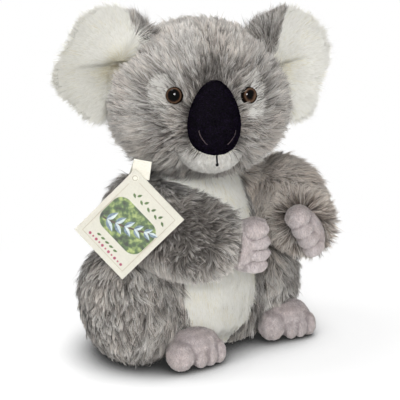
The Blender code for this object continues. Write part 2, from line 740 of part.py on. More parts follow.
def make_arms(carriers):
    for word in ("right", "left"):
        base = carriers["arm_" + word]
        hand = less(hand_form(word), arm_form(word, GAP), body_form(GAP))
        node("hand_" + word, hand, "velour", base)
        wrist = Vector(ARM_WRIST[word])
        heading = (wrist - Vector(ARM_BEND[word])).normalized()
        mouth = limb_mouth(wrist - heading * WALL * 3, wrist, ARM_OPENING_RADIUS)
        skin = less(arm_solid(word, 0.0), arm_solid(word, -WALL, INNER_AROUND, INNER_ALONG), mouth)
        node("arm_skin_" + word, skin, "grey plush", base)
        filling = arm_solid(word, -WALL - FILLING_SLACK, INNER_AROUND, INNER_ALONG)
        node("arm_filling_" + word, filling, "filling", base)


def limb_mouth(inside, outside, radius):
    """Round opening at the end of a limb's skin, where its paw is sewn in."""
    inside, outside = Vector(inside), Vector(outside)
    way = outside - inside
    turn = Vector((0.0, 0.0, 1.0)).rotation_difference(way.normalized())
    place = Matrix.Translation(inside) @ turn.to_matrix().to_4x4()
    return rod(radius, 0.0, way.length + OVERRUN, SMALL_AROUND, place)


# Legs


def leg_root(word, grow, around=ROOT_AROUND):
    radii = (LEG_ROOT_RADIUS + grow, LEG_ROOT_RADIUS + grow, LEG_ROOT_HALF_HEIGHT + grow)
    return blob(LEG_HIP[word], radii, around, ROOT_ALONG)


def leg_form(word, grow, around=DISC_AROUND, along=LIMB_ALONG):
    radii = [radius + grow for radius in LEG_RADII[word]]
    return blob(LEG_CENTRE[word], radii, around, along, roundness=LEG_ROUND_SHARE)


def leg_solid(word, grow, around=DISC_AROUND, along=LIMB_ALONG):
    """Haunch outside the body with its turning root, cut flat over the floor."""
    limit = LEG_SPLAY_LIMIT[word]
    bodies = turned_copies(lambda: body_form(GAP - grow), Matrix.Translation(LEG_HIP[word]),
                           (0.0, limit / 2.0, limit))
    leg = less(leg_form(word, grow, around, along), *bodies)
    leg = joined(leg, leg_root(word, grow, ROOT_AROUND if grow == 0.0 else around))
    return shared(leg, above(FLOOR_LIFT - grow))


def make_legs(carriers):
    for word in ("right", "left"):
        base = carriers["leg_" + word]
        foot = less(foot_form(word), leg_form(word, GAP), body_form(GAP))
        foot = shared(foot, above(FLOOR_LIFT))
        node("foot_" + word, foot, "velour", base)
        mouth = limb_mouth(LEG_CENTRE[word], PAW_MIDDLE["foot_" + word], LEG_OPENING_RADIUS)
        skin = less(leg_solid(word, 0.0), leg_solid(word, -WALL, INNER_AROUND, INNER_ALONG), mouth)
        node("leg_skin_" + word, skin, "grey plush", base)
        filling = leg_solid(word, -WALL - FILLING_SLACK, INNER_AROUND, INNER_ALONG)
        node("leg_filling_" + word, filling, "filling", base)


# Hang tag


def tag_place():
    """Frame of the card at its top corner: X along the spine, -Z down the side, -Y outwards."""
    return (Matrix.Translation(TAG_CORNER) @ Matrix.Rotation(math.radians(-TAG_AZIMUTH), 4, "Z")
            @ Matrix.Rotation(math.radians(-TAG_TILT), 4, "X")
            @ Matrix.Rotation(math.radians(TAG_ROLL), 4, "Y"))


def tag_pin_place():
    """Frame on the pin through the tag's hole, with Z outwards along its axis."""
    return (tag_place() @ Matrix.Translation((TAG_HOLE_INSET, 0.0, -TAG_HOLE_INSET))
            @ Matrix.Rotation(math.pi / 2.0, 4, "X"))


def make_tag(carriers):
    place = tag_place()
    pin = tag_pin_place()
    half_gap = GAP / 2.0
    back = box((0.0, half_gap, -TAG_SIDE), (TAG_SPINE, half_gap + TAG_THICK, 0.0), place)
    back = less(back, rod(TAG_HOLE_RADIUS, -OVERRUN, OVERRUN, SMALL_AROUND, pin))
    node("tag_back_leaf", back, "card", carriers["tag"])
    front = box((0.0, -half_gap - TAG_THICK, -TAG_SIDE), (TAG_SPINE, -half_gap, 0.0), place)
    front = less(front, rod(PIN_HEAD_RADIUS + GAP, 0.0, OVERRUN, SMALL_AROUND, pin))
    node("tag_front_leaf", front, "card", carriers["tag_cover"])
    loop_near = -half_gap - TAG_THICK - GAP
    loop_far = loop_near - LOOP_THICK
    shaft = rod(PIN_RADIUS, loop_far - GAP - PIN_HEAD_THICK, TAG_THICK, SMALL_AROUND, pin)
    outer = rod(PIN_HEAD_RADIUS, GAP, GAP + PIN_HEAD_THICK, SMALL_AROUND, pin)
    inner = rod(PIN_HEAD_RADIUS, loop_far - GAP - PIN_HEAD_THICK, loop_far - GAP, SMALL_AROUND, pin)
    node("tag_pin", joined(shaft, outer, inner), "washer", carriers["arm_right"])
    loop = loop_strip(pin, (loop_near + loop_far) / 2.0)
    loop = less(loop, rod(PIN_RADIUS + GAP, loop_far - OVERRUN, OVERRUN, SMALL_AROUND, pin))
    loop = less(loop, arm_form("right", GAP), arm_root("right", GAP), body_form(GAP))
    node("label_loop", loop, "ribbon", carriers["arm_right"])


def loop_strip(pin, depth):
    """Ribbon that lies flat round the pin and bends in to the shoulder seam."""
    start = pin @ Vector((0.0, 0.0, depth))
    outward = (pin.to_3x3() @ Vector((0.0, 0.0, 1.0))).normalized()
    way = Vector(LOOP_SEAM) - start
    inward = way.dot(outward)
    along = way - outward * inward
    reach = along.length
    along.normalize()
    across = outward.cross(along)
    first = start - along * LOOP_HALF_WIDTH
    start = start + along * LOOP_HALF_WIDTH
    bend = start + along * reach * LOOP_BEND_SHARE
    stations = [(first, along)]
    for step in range(LOOP_STEPS + 1):
        share = step / LOOP_STEPS
        middle = start * (1 - share) ** 2 + bend * 2 * share * (1 - share) + Vector(LOOP_SEAM) * share ** 2
        heading = (bend - start) * (1 - share) + (Vector(LOOP_SEAM) - bend) * share
        stations.append((middle, heading.normalized()))
    rings = []
    for middle, heading in stations:
        normal = heading.cross(across)
        rings.append([middle + across * LOOP_HALF_WIDTH * wide + normal * (LOOP_THICK / 2.0) * thick
                      for wide, thick in ((-1, -1), (1, -1), (1, 1), (-1, 1))])
    return closed_rings(stations[0][0], rings, stations[-1][0])


def make_carriers():
    """Tree of the bodies that move, each on its own axis."""
    made = {"body": carrier("body", (0.0, 0.0, 0.0))}
    made["head"] = carrier("head", (NECK_AXIS_X, NECK_AXIS_Y, DOME_TOP), made["body"])
    for word, side in (("right", -1.0), ("left", 1.0)):
        made["ear_" + word] = carrier("ear_" + word, ear_place(side).translation, made["head"])
        made["arm_" + word] = carrier("arm_" + word, ARM_SHOULDER[word], made["body"])
        made["leg_" + word] = carrier("leg_" + word, LEG_HIP[word], made["body"])
    made["tag"] = carrier("tag", tag_pin_place().translation, made["arm_right"])
    made["tag_cover"] = carrier("tag_cover", tag_place().translation, made["tag"])
    return made


def build():
    carriers = make_carriers()
    make_body(carriers)
    make_head(carriers)
    make_ears(carriers)
    make_arms(carriers)
    make_legs(carriers)
    make_tag(carriers)
    for word, side in (("right", -1.0), ("left", 1.0)):
        line = ear_place(side).to_3x3() @ Vector((0.0, 0.0, 1.0))
        print("ear", word, "on", tuple(carriers["ear_" + word]["place"]), "along", tuple(line))
    print("tag pin", tuple(carriers["tag"]["place"]), "along",
          tuple(tag_pin_place().to_3x3() @ Vector((0.0, 0.0, 1.0))))
    print("tag spine", tuple(carriers["tag_cover"]["place"]), "along",
          tuple(tag_place().to_3x3() @ Vector((1.0, 0.0, 0.0))))


build()
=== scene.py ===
# %% [markdown]
# # A sitting plush koala
# The toy is sewn from long grey pile, white pile, short velour and a suede nose, and stuffed.
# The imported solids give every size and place. This lesson dresses them: it grows real strands of
# pile on smooth skins, paints the velour and suede, and adds eyes, threads and the hang tag.

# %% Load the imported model
import math

import bmesh
import bpy
import numpy as np
from mathutils import Matrix, Vector
from mathutils.bvhtree import BVHTree
from mathutils.kdtree import KDTree


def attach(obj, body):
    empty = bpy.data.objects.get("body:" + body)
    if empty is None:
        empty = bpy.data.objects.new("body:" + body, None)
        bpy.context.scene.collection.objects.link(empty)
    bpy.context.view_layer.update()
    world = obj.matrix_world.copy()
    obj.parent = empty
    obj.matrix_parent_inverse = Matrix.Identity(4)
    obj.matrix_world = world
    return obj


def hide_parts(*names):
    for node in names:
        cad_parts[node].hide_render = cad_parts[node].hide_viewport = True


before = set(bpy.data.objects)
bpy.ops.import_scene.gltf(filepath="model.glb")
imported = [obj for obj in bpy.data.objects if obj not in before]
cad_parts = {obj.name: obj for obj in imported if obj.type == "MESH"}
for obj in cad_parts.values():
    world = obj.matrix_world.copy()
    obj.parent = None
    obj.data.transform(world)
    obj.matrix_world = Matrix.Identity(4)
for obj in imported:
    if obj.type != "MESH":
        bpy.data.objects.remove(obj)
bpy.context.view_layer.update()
MM = 0.001

# %% [markdown]
# ## Camera
# The photograph was taken from the toy's right front, a little above its head. A long lens keeps
# the outline calm. The frame is square, so the field of view is the same both ways.


# %% Camera at the photograph's angle
def aimed(item, place, aim):
    """Puts a camera or a lamp at a place and turns it to look at its aim."""
    item.location = place
    item.rotation_mode = "QUATERNION"
    item.rotation_quaternion = (Vector(aim) - Vector(place)).to_track_quat("-Z", "Y")
    bpy.context.scene.collection.objects.link(item)
    return item


CAMERA_AT, CAMERA_AIM = (-0.353, -0.618, 0.330), (-0.003, -0.012, 0.099)
LENS_MM, SENSOR_MM = 105.84, 36.0
camera = aimed(bpy.data.objects.new("camera", bpy.data.cameras.new("camera")), CAMERA_AT, CAMERA_AIM)
camera.data.lens = LENS_MM
camera.data.sensor_width = SENSOR_MM
bpy.context.scene.camera = camera
print("camera", CAMERA_AT)

# %% [markdown]
# ## Finishes
# Colours are written as sRGB hex, the way a colour card gives them, and turned to linear light by
# one function. One small function adds a node, sets its options and joins its sockets.


# %% Helpers for materials
def tint(code):
    """Linear RGBA of an sRGB hex colour."""
    channels = [int(code[place:place + 2], 16) / 255.0 for place in (1, 3, 5)]
    return tuple(value / 12.92 if value <= 0.04045 else ((value + 0.055) / 1.055) ** 2.4
                 for value in channels) + (1.0,)


def add_node(tree, kind, options=None, sockets=None, stops=None):
    """Adds a node. Sockets take a value or another node's output, and stops fill a colour ramp."""
    made = tree.nodes.new(kind)
    for key, value in (options or {}).items():
        setattr(made, key, value)
    for key, value in (sockets or {}).items():
        if isinstance(value, bpy.types.NodeSocket):
            tree.links.new(value, made.inputs[key])
        else:
            made.inputs[key].default_value = value
    if stops:
        elements = made.color_ramp.elements
        while len(elements) < len(stops):
            elements.new(0.5)
        for element, (position, colour) in zip(elements, stops):
            element.position = position
            element.color = tint(colour)
    return made


MIX_FACTOR, MIX_A, MIX_B, MIX_COLOUR = 0, 6, 7, 2      # the Mix node's sockets for colours


def finish(name, **sockets):
    """New material and its Principled shader, with constants on the shader's own sockets.

    A socket's name is written with _ for each space."""
    made = bpy.data.materials.new(name)
    made.use_nodes = True
    shader = made.node_tree.nodes["Principled BSDF"]
    for key, value in sockets.items():
        shader.inputs[key.replace("_", " ")].default_value = value
    return made, made.node_tree, shader


# %% [markdown]
# ### Long pile
# Plush is knitted acrylic pile. Each strand is dark where it leaves the backing and light at its
# tip, which is what gives the coat its depth. Every strand carries a map: across the map is its
# tone, from dark to light, and up the map is the way from root to tip.


# %% Pile materials
PILE_MAP = "OFBake"              # the strand map's name
HUES = 3                         # shades of one pile colour: plain, warm and pink
PLAIN_TINTS = ("#ffffff", "#fffaf5", "#fff7f5")
PILE_SPECULAR = 0.05             # the strands' round sides scatter what a flat face would mirror


def pile_finish(name, dark_stops, light_stops, tints=PLAIN_TINTS, sheen=0.25, specular=PILE_SPECULAR):
    """Acrylic pile: a soft, rough strand whose colour runs from root to tip.

    The map's width holds three bands, one for each shade, and each band runs from dark to light."""
    made, tree, shader = finish(name, Roughness=0.88, Sheen_Weight=sheen, Sheen_Roughness=0.6,
                                Specular_IOR_Level=specular)
    place = add_node(tree, "ShaderNodeUVMap", {"uv_map": PILE_MAP})
    split = add_node(tree, "ShaderNodeSeparateXYZ", sockets={"Vector": place.outputs["UV"]})
    bands = add_node(tree, "ShaderNodeMath", {"operation": "MULTIPLY"},
                     {0: split.outputs["X"], 1: float(HUES)})
    tone = add_node(tree, "ShaderNodeMath", {"operation": "FRACT"}, {0: bands.outputs["Value"]})
    dark = add_node(tree, "ShaderNodeValToRGB", sockets={"Fac": split.outputs["Y"]}, stops=dark_stops)
    light = add_node(tree, "ShaderNodeValToRGB", sockets={"Fac": split.outputs["Y"]}, stops=light_stops)
    shade = add_node(tree, "ShaderNodeValToRGB", sockets={"Fac": split.outputs["X"]},
                     stops=[(band / HUES, colour) for band, colour in enumerate(tints)])
    shade.color_ramp.interpolation = "CONSTANT"
    mixed = add_node(tree, "ShaderNodeMix", {"data_type": "RGBA"},
                     {MIX_FACTOR: tone.outputs["Value"], MIX_A: dark.outputs["Color"],
                      MIX_B: light.outputs["Color"]})
    tinted = add_node(tree, "ShaderNodeMix", {"data_type": "RGBA", "blend_type": "MULTIPLY"},
                      {MIX_FACTOR: 1.0, MIX_A: mixed.outputs[MIX_COLOUR], MIX_B: shade.outputs["Color"]})
    tree.links.new(tinted.outputs[MIX_COLOUR], shader.inputs["Base Color"])
    return made


# The body's acrylic is spun from dark and light fibres, which mingle to a silvery grey.
GREY_PILE = pile_finish("grey acrylic pile",
                        [(0.0, "#262322"), (0.45, "#44403d"), (0.8, "#68635f"), (1.0, "#85807b")],
                        [(0.0, "#837e79"), (0.35, "#b7b3ae"), (0.75, "#dcd9d5"), (1.0, "#f2f0ed")],
                        tints=("#fdfdfc", "#fff9f2", "#fff6f2"))
# On the left arm the tips take a sandy cast, so the same pile looks warmer there.
TAN_PILE = pile_finish("grey acrylic pile with tan tips",
                       [(0.0, "#282220"), (0.45, "#473e39"), (0.8, "#6d635c"), (1.0, "#8a7f78")],
                       [(0.0, "#88807a"), (0.35, "#bbb3ac"), (0.75, "#e0d9d2"), (1.0, "#f5f0ea")],
                       tints=("#fdfdfc", "#fff9f1", "#fff7f3"))
# The ears' white pile is undyed and cool at the tips. Its creamy shades are mostly painted shade, used
# where the fold hangs over the roots.
WHITE_PILE = pile_finish("white acrylic pile",
                         [(0.0, "#b4b2a9"), (0.5, "#c8c6be"), (1.0, "#d2d0ca")],
                         [(0.0, "#d8d6ce"), (0.5, "#eae9e4"), (1.0, "#f5f4f1")],
                         tints=("#fffffd", "#fcf9ea", "#efe5cb"))
# The chest's white pile is sheared and brushed flat, so it shows hardly any dark between strands.
CHEST_PILE = pile_finish("white chest pile",
                         [(0.0, "#b9b7ae"), (0.5, "#cdcbc3"), (1.0, "#d6d4ce")],
                         [(0.0, "#e4e2da"), (0.5, "#f5f4ef"), (1.0, "#ffffff")],
                         tints=("#fffffd", "#fdfaec", "#f3ead3"))
# Short white pile on the muzzle and round the eyes shows its grey roots, and so looks softer.
SHORT_WHITE = pile_finish("short white pile", [(0.0, "#97948e"), (1.0, "#b8b5af")],
                          [(0.0, "#d6d4ce"), (1.0, "#f6f5f1")])


def mottled(name, stops, patch_mm, detail, **sockets):
    """Material whose colour changes softly from patch to patch, and the noise that changes it."""
    made, tree, shader = finish(name, **sockets)
    place = add_node(tree, "ShaderNodeTexCoord")
    noise = add_node(tree, "ShaderNodeTexNoise", {"noise_dimensions": "3D"},
                     {"Vector": place.outputs["Object"], "Scale": 1.0 / (patch_mm * MM), "Detail": detail})
    ramp = add_node(tree, "ShaderNodeValToRGB", sockets={"Fac": noise.outputs["Fac"]}, stops=stops)
    tree.links.new(ramp.outputs["Color"], shader.inputs["Base Color"])
    return made, tree, shader, noise


def backing_finish(name, low, high, grain_mm, sheen=0.2, roughness=0.95):
    """Cloth, card or thread with a fine uneven grain, dull because its surface is broken up."""
    made, tree, shader, grain = mottled(name, [(0.3, low), (0.7, high)], grain_mm, 3.0, Roughness=roughness,
                                        Sheen_Weight=sheen, Specular_IOR_Level=0.04)
    bump = add_node(tree, "ShaderNodeBump", sockets={"Height": grain.outputs["Fac"], "Strength": 0.5,
                                                     "Distance": 0.4 * MM})
    tree.links.new(bump.outputs["Normal"], shader.inputs["Normal"])
    return made


# The knitted backings are seen only between strands, as a dull ground a little darker than the pile.
GREY_BACKING = backing_finish("grey knitted backing", "#4a4441", "#7a7470", 3.0)
WHITE_BACKING = backing_finish("white knitted backing", "#d3d0c2", "#e4e1d5", 3.0)
VELOUR_BACKING = backing_finish("velour backing", "#a79b9c", "#c4b9b9", 1.6)
# Suede is leather with its fibres raised: it swallows light and stays near black from every side.
SUEDE = backing_finish("black suede", "#050407", "#0b090f", 0.9, sheen=0.0)
print("finishes so far", len(bpy.data.materials))

# %% [markdown]
# ## Skins
# The solids are faceted and hollow. Joined and remeshed at a few millimetres they become one smooth
# closed skin for each stuffed part, drawn in a little so that the pile stands on it.


# %% Smooth skins from the solids
def show(name, mesh, material, body):
    """Links a mesh as a piece that moves with a body and takes a slot's finish."""
    made = bpy.data.objects.new(name, mesh)
    bpy.context.scene.collection.objects.link(made)
    mesh.materials.clear()
    mesh.materials.append(material)
    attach(made, body)
    return made


def shaped(name, shape, smooth=True):
    """Mesh of a closed shape with its faces turned outwards."""
    bmesh.ops.recalc_face_normals(shape, faces=shape.faces)
    mesh = bpy.data.meshes.new(name)
    shape.to_mesh(mesh)
    shape.free()
    if smooth:
        mesh.shade_smooth()
    return mesh


def circle(count):
    """Points round a circle of radius 1."""
    angles = [2.0 * math.pi * spot / count for spot in range(count)]
    return [(math.cos(angle), math.sin(angle)) for angle in angles]


def even_shares(count):
    """Even steps from 0 to 1."""
    return [step / count for step in range(count + 1)]


def bridge(shape, rings):
    """Joins a row of rings of points into one skin, with a face over each end."""
    for lower, upper in zip(rings, rings[1:]):
        for corner in range(len(lower)):
            after = (corner + 1) % len(lower)
            shape.faces.new((lower[corner], lower[after], upper[after], upper[corner]))
    shape.faces.new(rings[0])
    shape.faces.new(rings[-1])


def solved(item):
    """Applies the modifiers of an object and returns the resulting mesh."""
    graph = bpy.context.evaluated_depsgraph_get()
    made = bpy.data.meshes.new_from_object(item.evaluated_get(graph))
    bpy.data.objects.remove(item, do_unlink=True)
    return made


def smooth_step(low, high, values):
    share = np.clip((values - low) / (high - low), 0.0, 1.0)
    return share * share * (3.0 - 2.0 * share)


def mesh_points(mesh):
    """Points and normals of a mesh as arrays."""
    both = []
    for kind in ("co", "normal"):
        values = np.empty(len(mesh.vertices) * 3)
        mesh.vertices.foreach_get(kind, values)
        both.append(values.reshape(-1, 3))
    return both


def move_points(mesh, points):
    mesh.vertices.foreach_set("co", points.ravel())
    mesh.update()


def skin_mesh(name, nodes, voxel_mm, rounds, inset_mm):
    """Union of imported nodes, remeshed, smoothed and drawn in along its normals."""
    joined = bmesh.new()
    for node in nodes:
        joined.from_mesh(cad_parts[node].data)
    mesh = bpy.data.meshes.new(name)
    joined.to_mesh(mesh)
    joined.free()
    item = bpy.data.objects.new(name, mesh)
    bpy.context.scene.collection.objects.link(item)
    remesh = item.modifiers.new("remesh", "REMESH")
    remesh.mode = "VOXEL"
    remesh.voxel_size = voxel_mm * MM
    soften = item.modifiers.new("smooth", "SMOOTH")
    soften.factor = 0.5
    soften.iterations = rounds
    made = solved(item)
    made.name = name
    points, normals = mesh_points(made)
    move_points(made, points - normals * inset_mm * MM)
    made.shade_smooth()
    return made


def solid_test(mesh):
    """Search tree and box that tell whether a point lies inside a closed mesh."""
    corners = [vertex.co.copy() for vertex in mesh.vertices]
    tree = BVHTree.FromPolygons(corners, [tuple(face.vertices) for face in mesh.polygons])
    return tree, np.min(corners, axis=0), np.max(corners, axis=0)


def inside(solid_of, points, margin_mm=0.0):
    """True for each point that lies inside the solid, or nearer to it than the margin."""
    tree, low, high = solid_of
    margin = margin_mm * MM
    found = np.all((points > low - margin) & (points < high + margin), axis=1)
    for index in np.flatnonzero(found):
        near, normal, _, gap = tree.find_nearest(points[index])
        found[index] = gap < margin or (Vector(points[index]) - near).dot(normal) < 0.0
    return found


# %% [markdown]
# One plan lists the large coats: the solids that each is made from, the step of its remesh, and how
# far it is drawn in to leave room for its pile.

# %% Coats of the torso, head, arms and legs
SMOOTHING = 8                    # rounds that take the voxels' steps out of a skin
SKIN_PLAN = {
    # body: nodes under the coat, voxel and inset in millimetres
    "torso": (("torso_skin", "torso_filling", "chest_panel", "seat_panel", "pellet_bag"), 2.4, 0.6),
    "head": (("head_skin", "head_filling", "eye_patch_right", "eye_patch_left"), 2.2, 0.6),
}
for limb in ("arm", "leg"):
    for word in ("right", "left"):
        nodes = (limb + "_skin_" + word, limb + "_filling_" + word)
        SKIN_PLAN[limb + "_" + word] = (nodes, 2.0, 0.4)
OWN_PILE = ("chest_panel", "eye_patch_right", "eye_patch_left")     # these nodes get pile of their own
BELLY_BACK, BELLY_UP = 9.0 * MM, 3.0 * MM      # the belly's cloth turns under before it meets the floor
BELLY_TOP, BELLY_LOW = 0.024, 0.001            # heights between which it starts to turn
BELLY_BEHIND, BELLY_FRONT = -0.012, -0.036     # and how far to the front
coats = {}


def add_coat(name, mesh, material, body, slot, fill, *nodes):
    """Shows the coat of a stuffed piece in the place of its plain solids."""
    coat = show(name, mesh, material, body)
    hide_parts(*nodes)
    coats[name] = coat


def tuck_belly(mesh):
    """Draws the lower front edge of the torso back and up, as stuffed cloth rounds off there."""
    points, _ = mesh_points(mesh)
    share = smooth_step(BELLY_TOP, BELLY_LOW, points[:, 2])
    share = share * smooth_step(BELLY_BEHIND, BELLY_FRONT, points[:, 1])
    points[:, 1] += BELLY_BACK * share
    points[:, 2] += BELLY_UP * share
    move_points(mesh, points)


for part, (nodes, voxel, inset) in SKIN_PLAN.items():
    limb, _, word = part.partition("_")
    name = limb + "_coat" + ("_" + word if word else "")
    mesh = skin_mesh(name, nodes, voxel, SMOOTHING, inset)
    if part == "torso":
        tuck_belly(mesh)
    covered = [node for node in nodes if node not in OWN_PILE]
    add_coat(name, mesh, GREY_BACKING, "body" if part == "torso" else part, "grey_plush", 0.7, *covered)
    print(name, len(mesh.vertices), "points")

# %% [markdown]
# ## Strands of pile
# Real pile stands in tufts: neighbours lean together and their tips meet, and dark roots show where
# tufts part. Each strand here is a narrow ribbon that tapers to a point. A few strands lead, and
# each of the others bends towards the nearest leader, more towards its tip.


# %% Growing strands
FLOOR_REST = 0.4 * MM            # pile that reaches the floor lies on it
TONES = 80                       # steps from dark to light in each of the map's bands
MOST_TRIANGLES = 190000          # of one piece
COLUMN_EDGE = 0.12               # part of a tone column left free on both sides
DARK_DROP = 0.58                 # how much darker a strand of the dark fibre is
STREAK_MM = 2.4                  # size of the patches in which the dark fibres gather
STRAY_LENGTH = 1.2               # a stray strand's length against its neighbours'
STRAY_LIFT = 10.0                # degrees that it stands up more
SHORTENED = (0.0, 0.38, 0.72)    # share of its length that a strand keeps when it would hit something
SHORTEST = 0.3 * MM              # a strand left shorter than this isn't made
TUFT_STRETCH, STRAND_STRETCH = 0.13, 0.10      # spread of the tufts' and the single strands' lengths
TUFT_LEAN, STRAND_LEAN = 6.0, 4.0              # spread of their leans in degrees
STRAND_SWIRL, STRAND_TWIST = 7.0, 24.0         # spread of the combing and of the turn about its own length
FLATTEST = 86.0                  # degrees from upright at which a strand lies on the skin
TIP_PULL = 1.4                   # over 1, a tuft draws its strands together late, towards the tips
TIP_THIN, TIP_FROM = 0.55, 1.5   # how much a strand thins before its point, and how late
STREAK_LEVEL, STREAK_GAIN = 0.85, 1.7          # wave height from which a patch is dark, for a dark share
IN_STREAK = 0.85                 # share of a dark patch's strands that are dark
HUE_MM, HUE_PATCH, HUE_SPREAD = 18.0, 0.22, 0.25      # patches of the warm and pink shades
WARM_FROM, PINK_FROM = 0.5, 0.85
MAP_MARGIN = 0.02                # the root and the tip keep this far from the map's edges


def unit(vectors):
    return vectors / np.maximum(np.linalg.norm(vectors, axis=1, keepdims=True), 1e-9)


def dots(first, second):
    return np.sum(first * second, axis=1, keepdims=True)


def along_skin(vectors, normals):
    """Directions turned into the plane of the skin."""
    return unit(vectors - dots(vectors, normals) * normals)


def nearest_index(points, places):
    """Which of the points lies nearest to each place."""
    tree = KDTree(len(points))
    for index, point in enumerate(points):
        tree.insert(point, index)
    tree.balance()
    return np.array([tree.find(place)[1] for place in places])


def waves(points, size_mm, seed, crossed=6, shortest=0.7, longest=1.5, height=3.4):
    """Soft noise in about -1 to 1 from a few crossed waves, for patches of tone and length."""
    random = np.random.RandomState(seed)
    total = np.zeros(len(points))
    for _ in range(crossed):
        way = unit(random.normal(size=(1, 3)))[0]
        total += np.sin(points @ way * (2.0 * math.pi / (size_mm * MM * random.uniform(shortest, longest)))
                        + random.uniform(0.0, 2.0 * math.pi))
    return total / height


def skin_roots(mesh, per_mm2, seed):
    """Even random points on a mesh with their normals."""
    mesh.calc_loop_triangles()
    corners = np.empty(len(mesh.loop_triangles) * 3, np.int32)
    mesh.loop_triangles.foreach_get("vertices", corners)
    corners = corners.reshape(-1, 3)
    points, normals = mesh_points(mesh)
    one, two, three = (points[corners[:, corner]] for corner in range(3))
    areas = np.linalg.norm(np.cross(two - one, three - one), axis=1) / 2.0
    count = int(areas.sum() / MM ** 2 * per_mm2)
    random = np.random.RandomState(seed)
    steps = (np.arange(count) + random.rand(count)) / count
    picked = np.minimum(np.searchsorted(np.cumsum(areas) / areas.sum(), steps), len(areas) - 1)
    first, second = random.rand(count), random.rand(count)
    over = first + second > 1.0
    first[over], second[over] = 1.0 - first[over], 1.0 - second[over]
    shares = np.stack([1.0 - first - second, first, second], 1)[:, :, None]
    chosen = corners[picked]
    return (points[chosen] * shares).sum(1), unit((normals[chosen] * shares).sum(1))


def strand_mesh(name, paths, across, normals, width_mm, tones, hues, soft):
    """Tapered ribbons along paths, which hold one row of points for each step from root to tip.

    Their shading normals lean towards the skin's own by the soft share, as light that passes
    through fine fibres makes a whole coat shade like the form under it."""
    steps = len(paths) - 1
    count = len(tones)
    taper = [1.0 - TIP_THIN * (step / steps) ** TIP_FROM for step in range(steps)]
    heading = unit(paths[-1] - paths[0])
    across = across * np.where(dots(np.cross(across, heading), normals) < 0.0, -1.0, 1.0)
    shading = unit(np.cross(across, heading) * (1.0 - soft) + normals * soft)
    rows = []
    for step in range(steps):
        half = across * (width_mm * MM * taper[step] / 2.0)[:, None]
        rows += [paths[step] - half, paths[step] + half]
    rows.append(paths[-1])
    points = np.stack(rows, 1)
    points[:, :, 2] = np.maximum(points[:, :, 2], FLOOR_REST)
    corners = []
    for step in range(steps - 1):
        corners += [2 * step, 2 * step + 1, 2 * step + 3, 2 * step + 2]
    corners += [2 * steps - 2, 2 * steps - 1, 2 * steps]
    per_strand = 2 * steps + 1
    loops = (np.array(corners)[None, :] + per_strand * np.arange(count)[:, None]).ravel()
    face_sizes = np.array([4] * (steps - 1) + [3])
    starts = np.concatenate([[0], np.cumsum(np.tile(face_sizes, count))[:-1]])
    mesh = bpy.data.meshes.new(name)
    mesh.vertices.add(count * per_strand)
    mesh.vertices.foreach_set("co", points.ravel())
    mesh.loops.add(len(loops))
    mesh.loops.foreach_set("vertex_index", loops.astype(np.int32))
    mesh.polygons.add(count * steps)
    mesh.polygons.foreach_set("loop_start", starts.astype(np.int32))
    mesh.update(calc_edges=True)
    column = np.floor(np.clip(tones, 0.0, 0.9999) * TONES) + TONES * hues
    edges = np.stack([column + COLUMN_EDGE, column + 1.0 - COLUMN_EDGE], 1) / (TONES * HUES)
    corner_map = np.empty((count, per_strand, 2))
    for step in range(steps):
        corner_map[:, 2 * step:2 * step + 2, 0] = edges
        corner_map[:, 2 * step:2 * step + 2, 1] = MAP_MARGIN + (1.0 - 2.0 * MAP_MARGIN) * step / steps
    corner_map[:, -1, 0] = edges.mean(1)
    corner_map[:, -1, 1] = 1.0 - MAP_MARGIN
    layer = mesh.uv_layers.new(name=PILE_MAP)
    layer.uv.foreach_set("vector", corner_map.reshape(-1, 2)[loops].ravel())
    mesh.shade_smooth()
    soft_normals = mesh.attributes.new("custom_normal", "FLOAT_VECTOR", "POINT")
    soft_normals.data.foreach_set("vector", np.repeat(shading, per_strand, axis=0).ravel())
    return mesh


def scattered(shares, seed):
    """Picks each root by its own chance, so that two colours of pile mingle where they meet."""
    return np.random.RandomState(seed).rand(len(shares)) < shares


def pick(chosen, *arrays):
    """The chosen rows of each array."""
    return [values[chosen] for values in arrays]


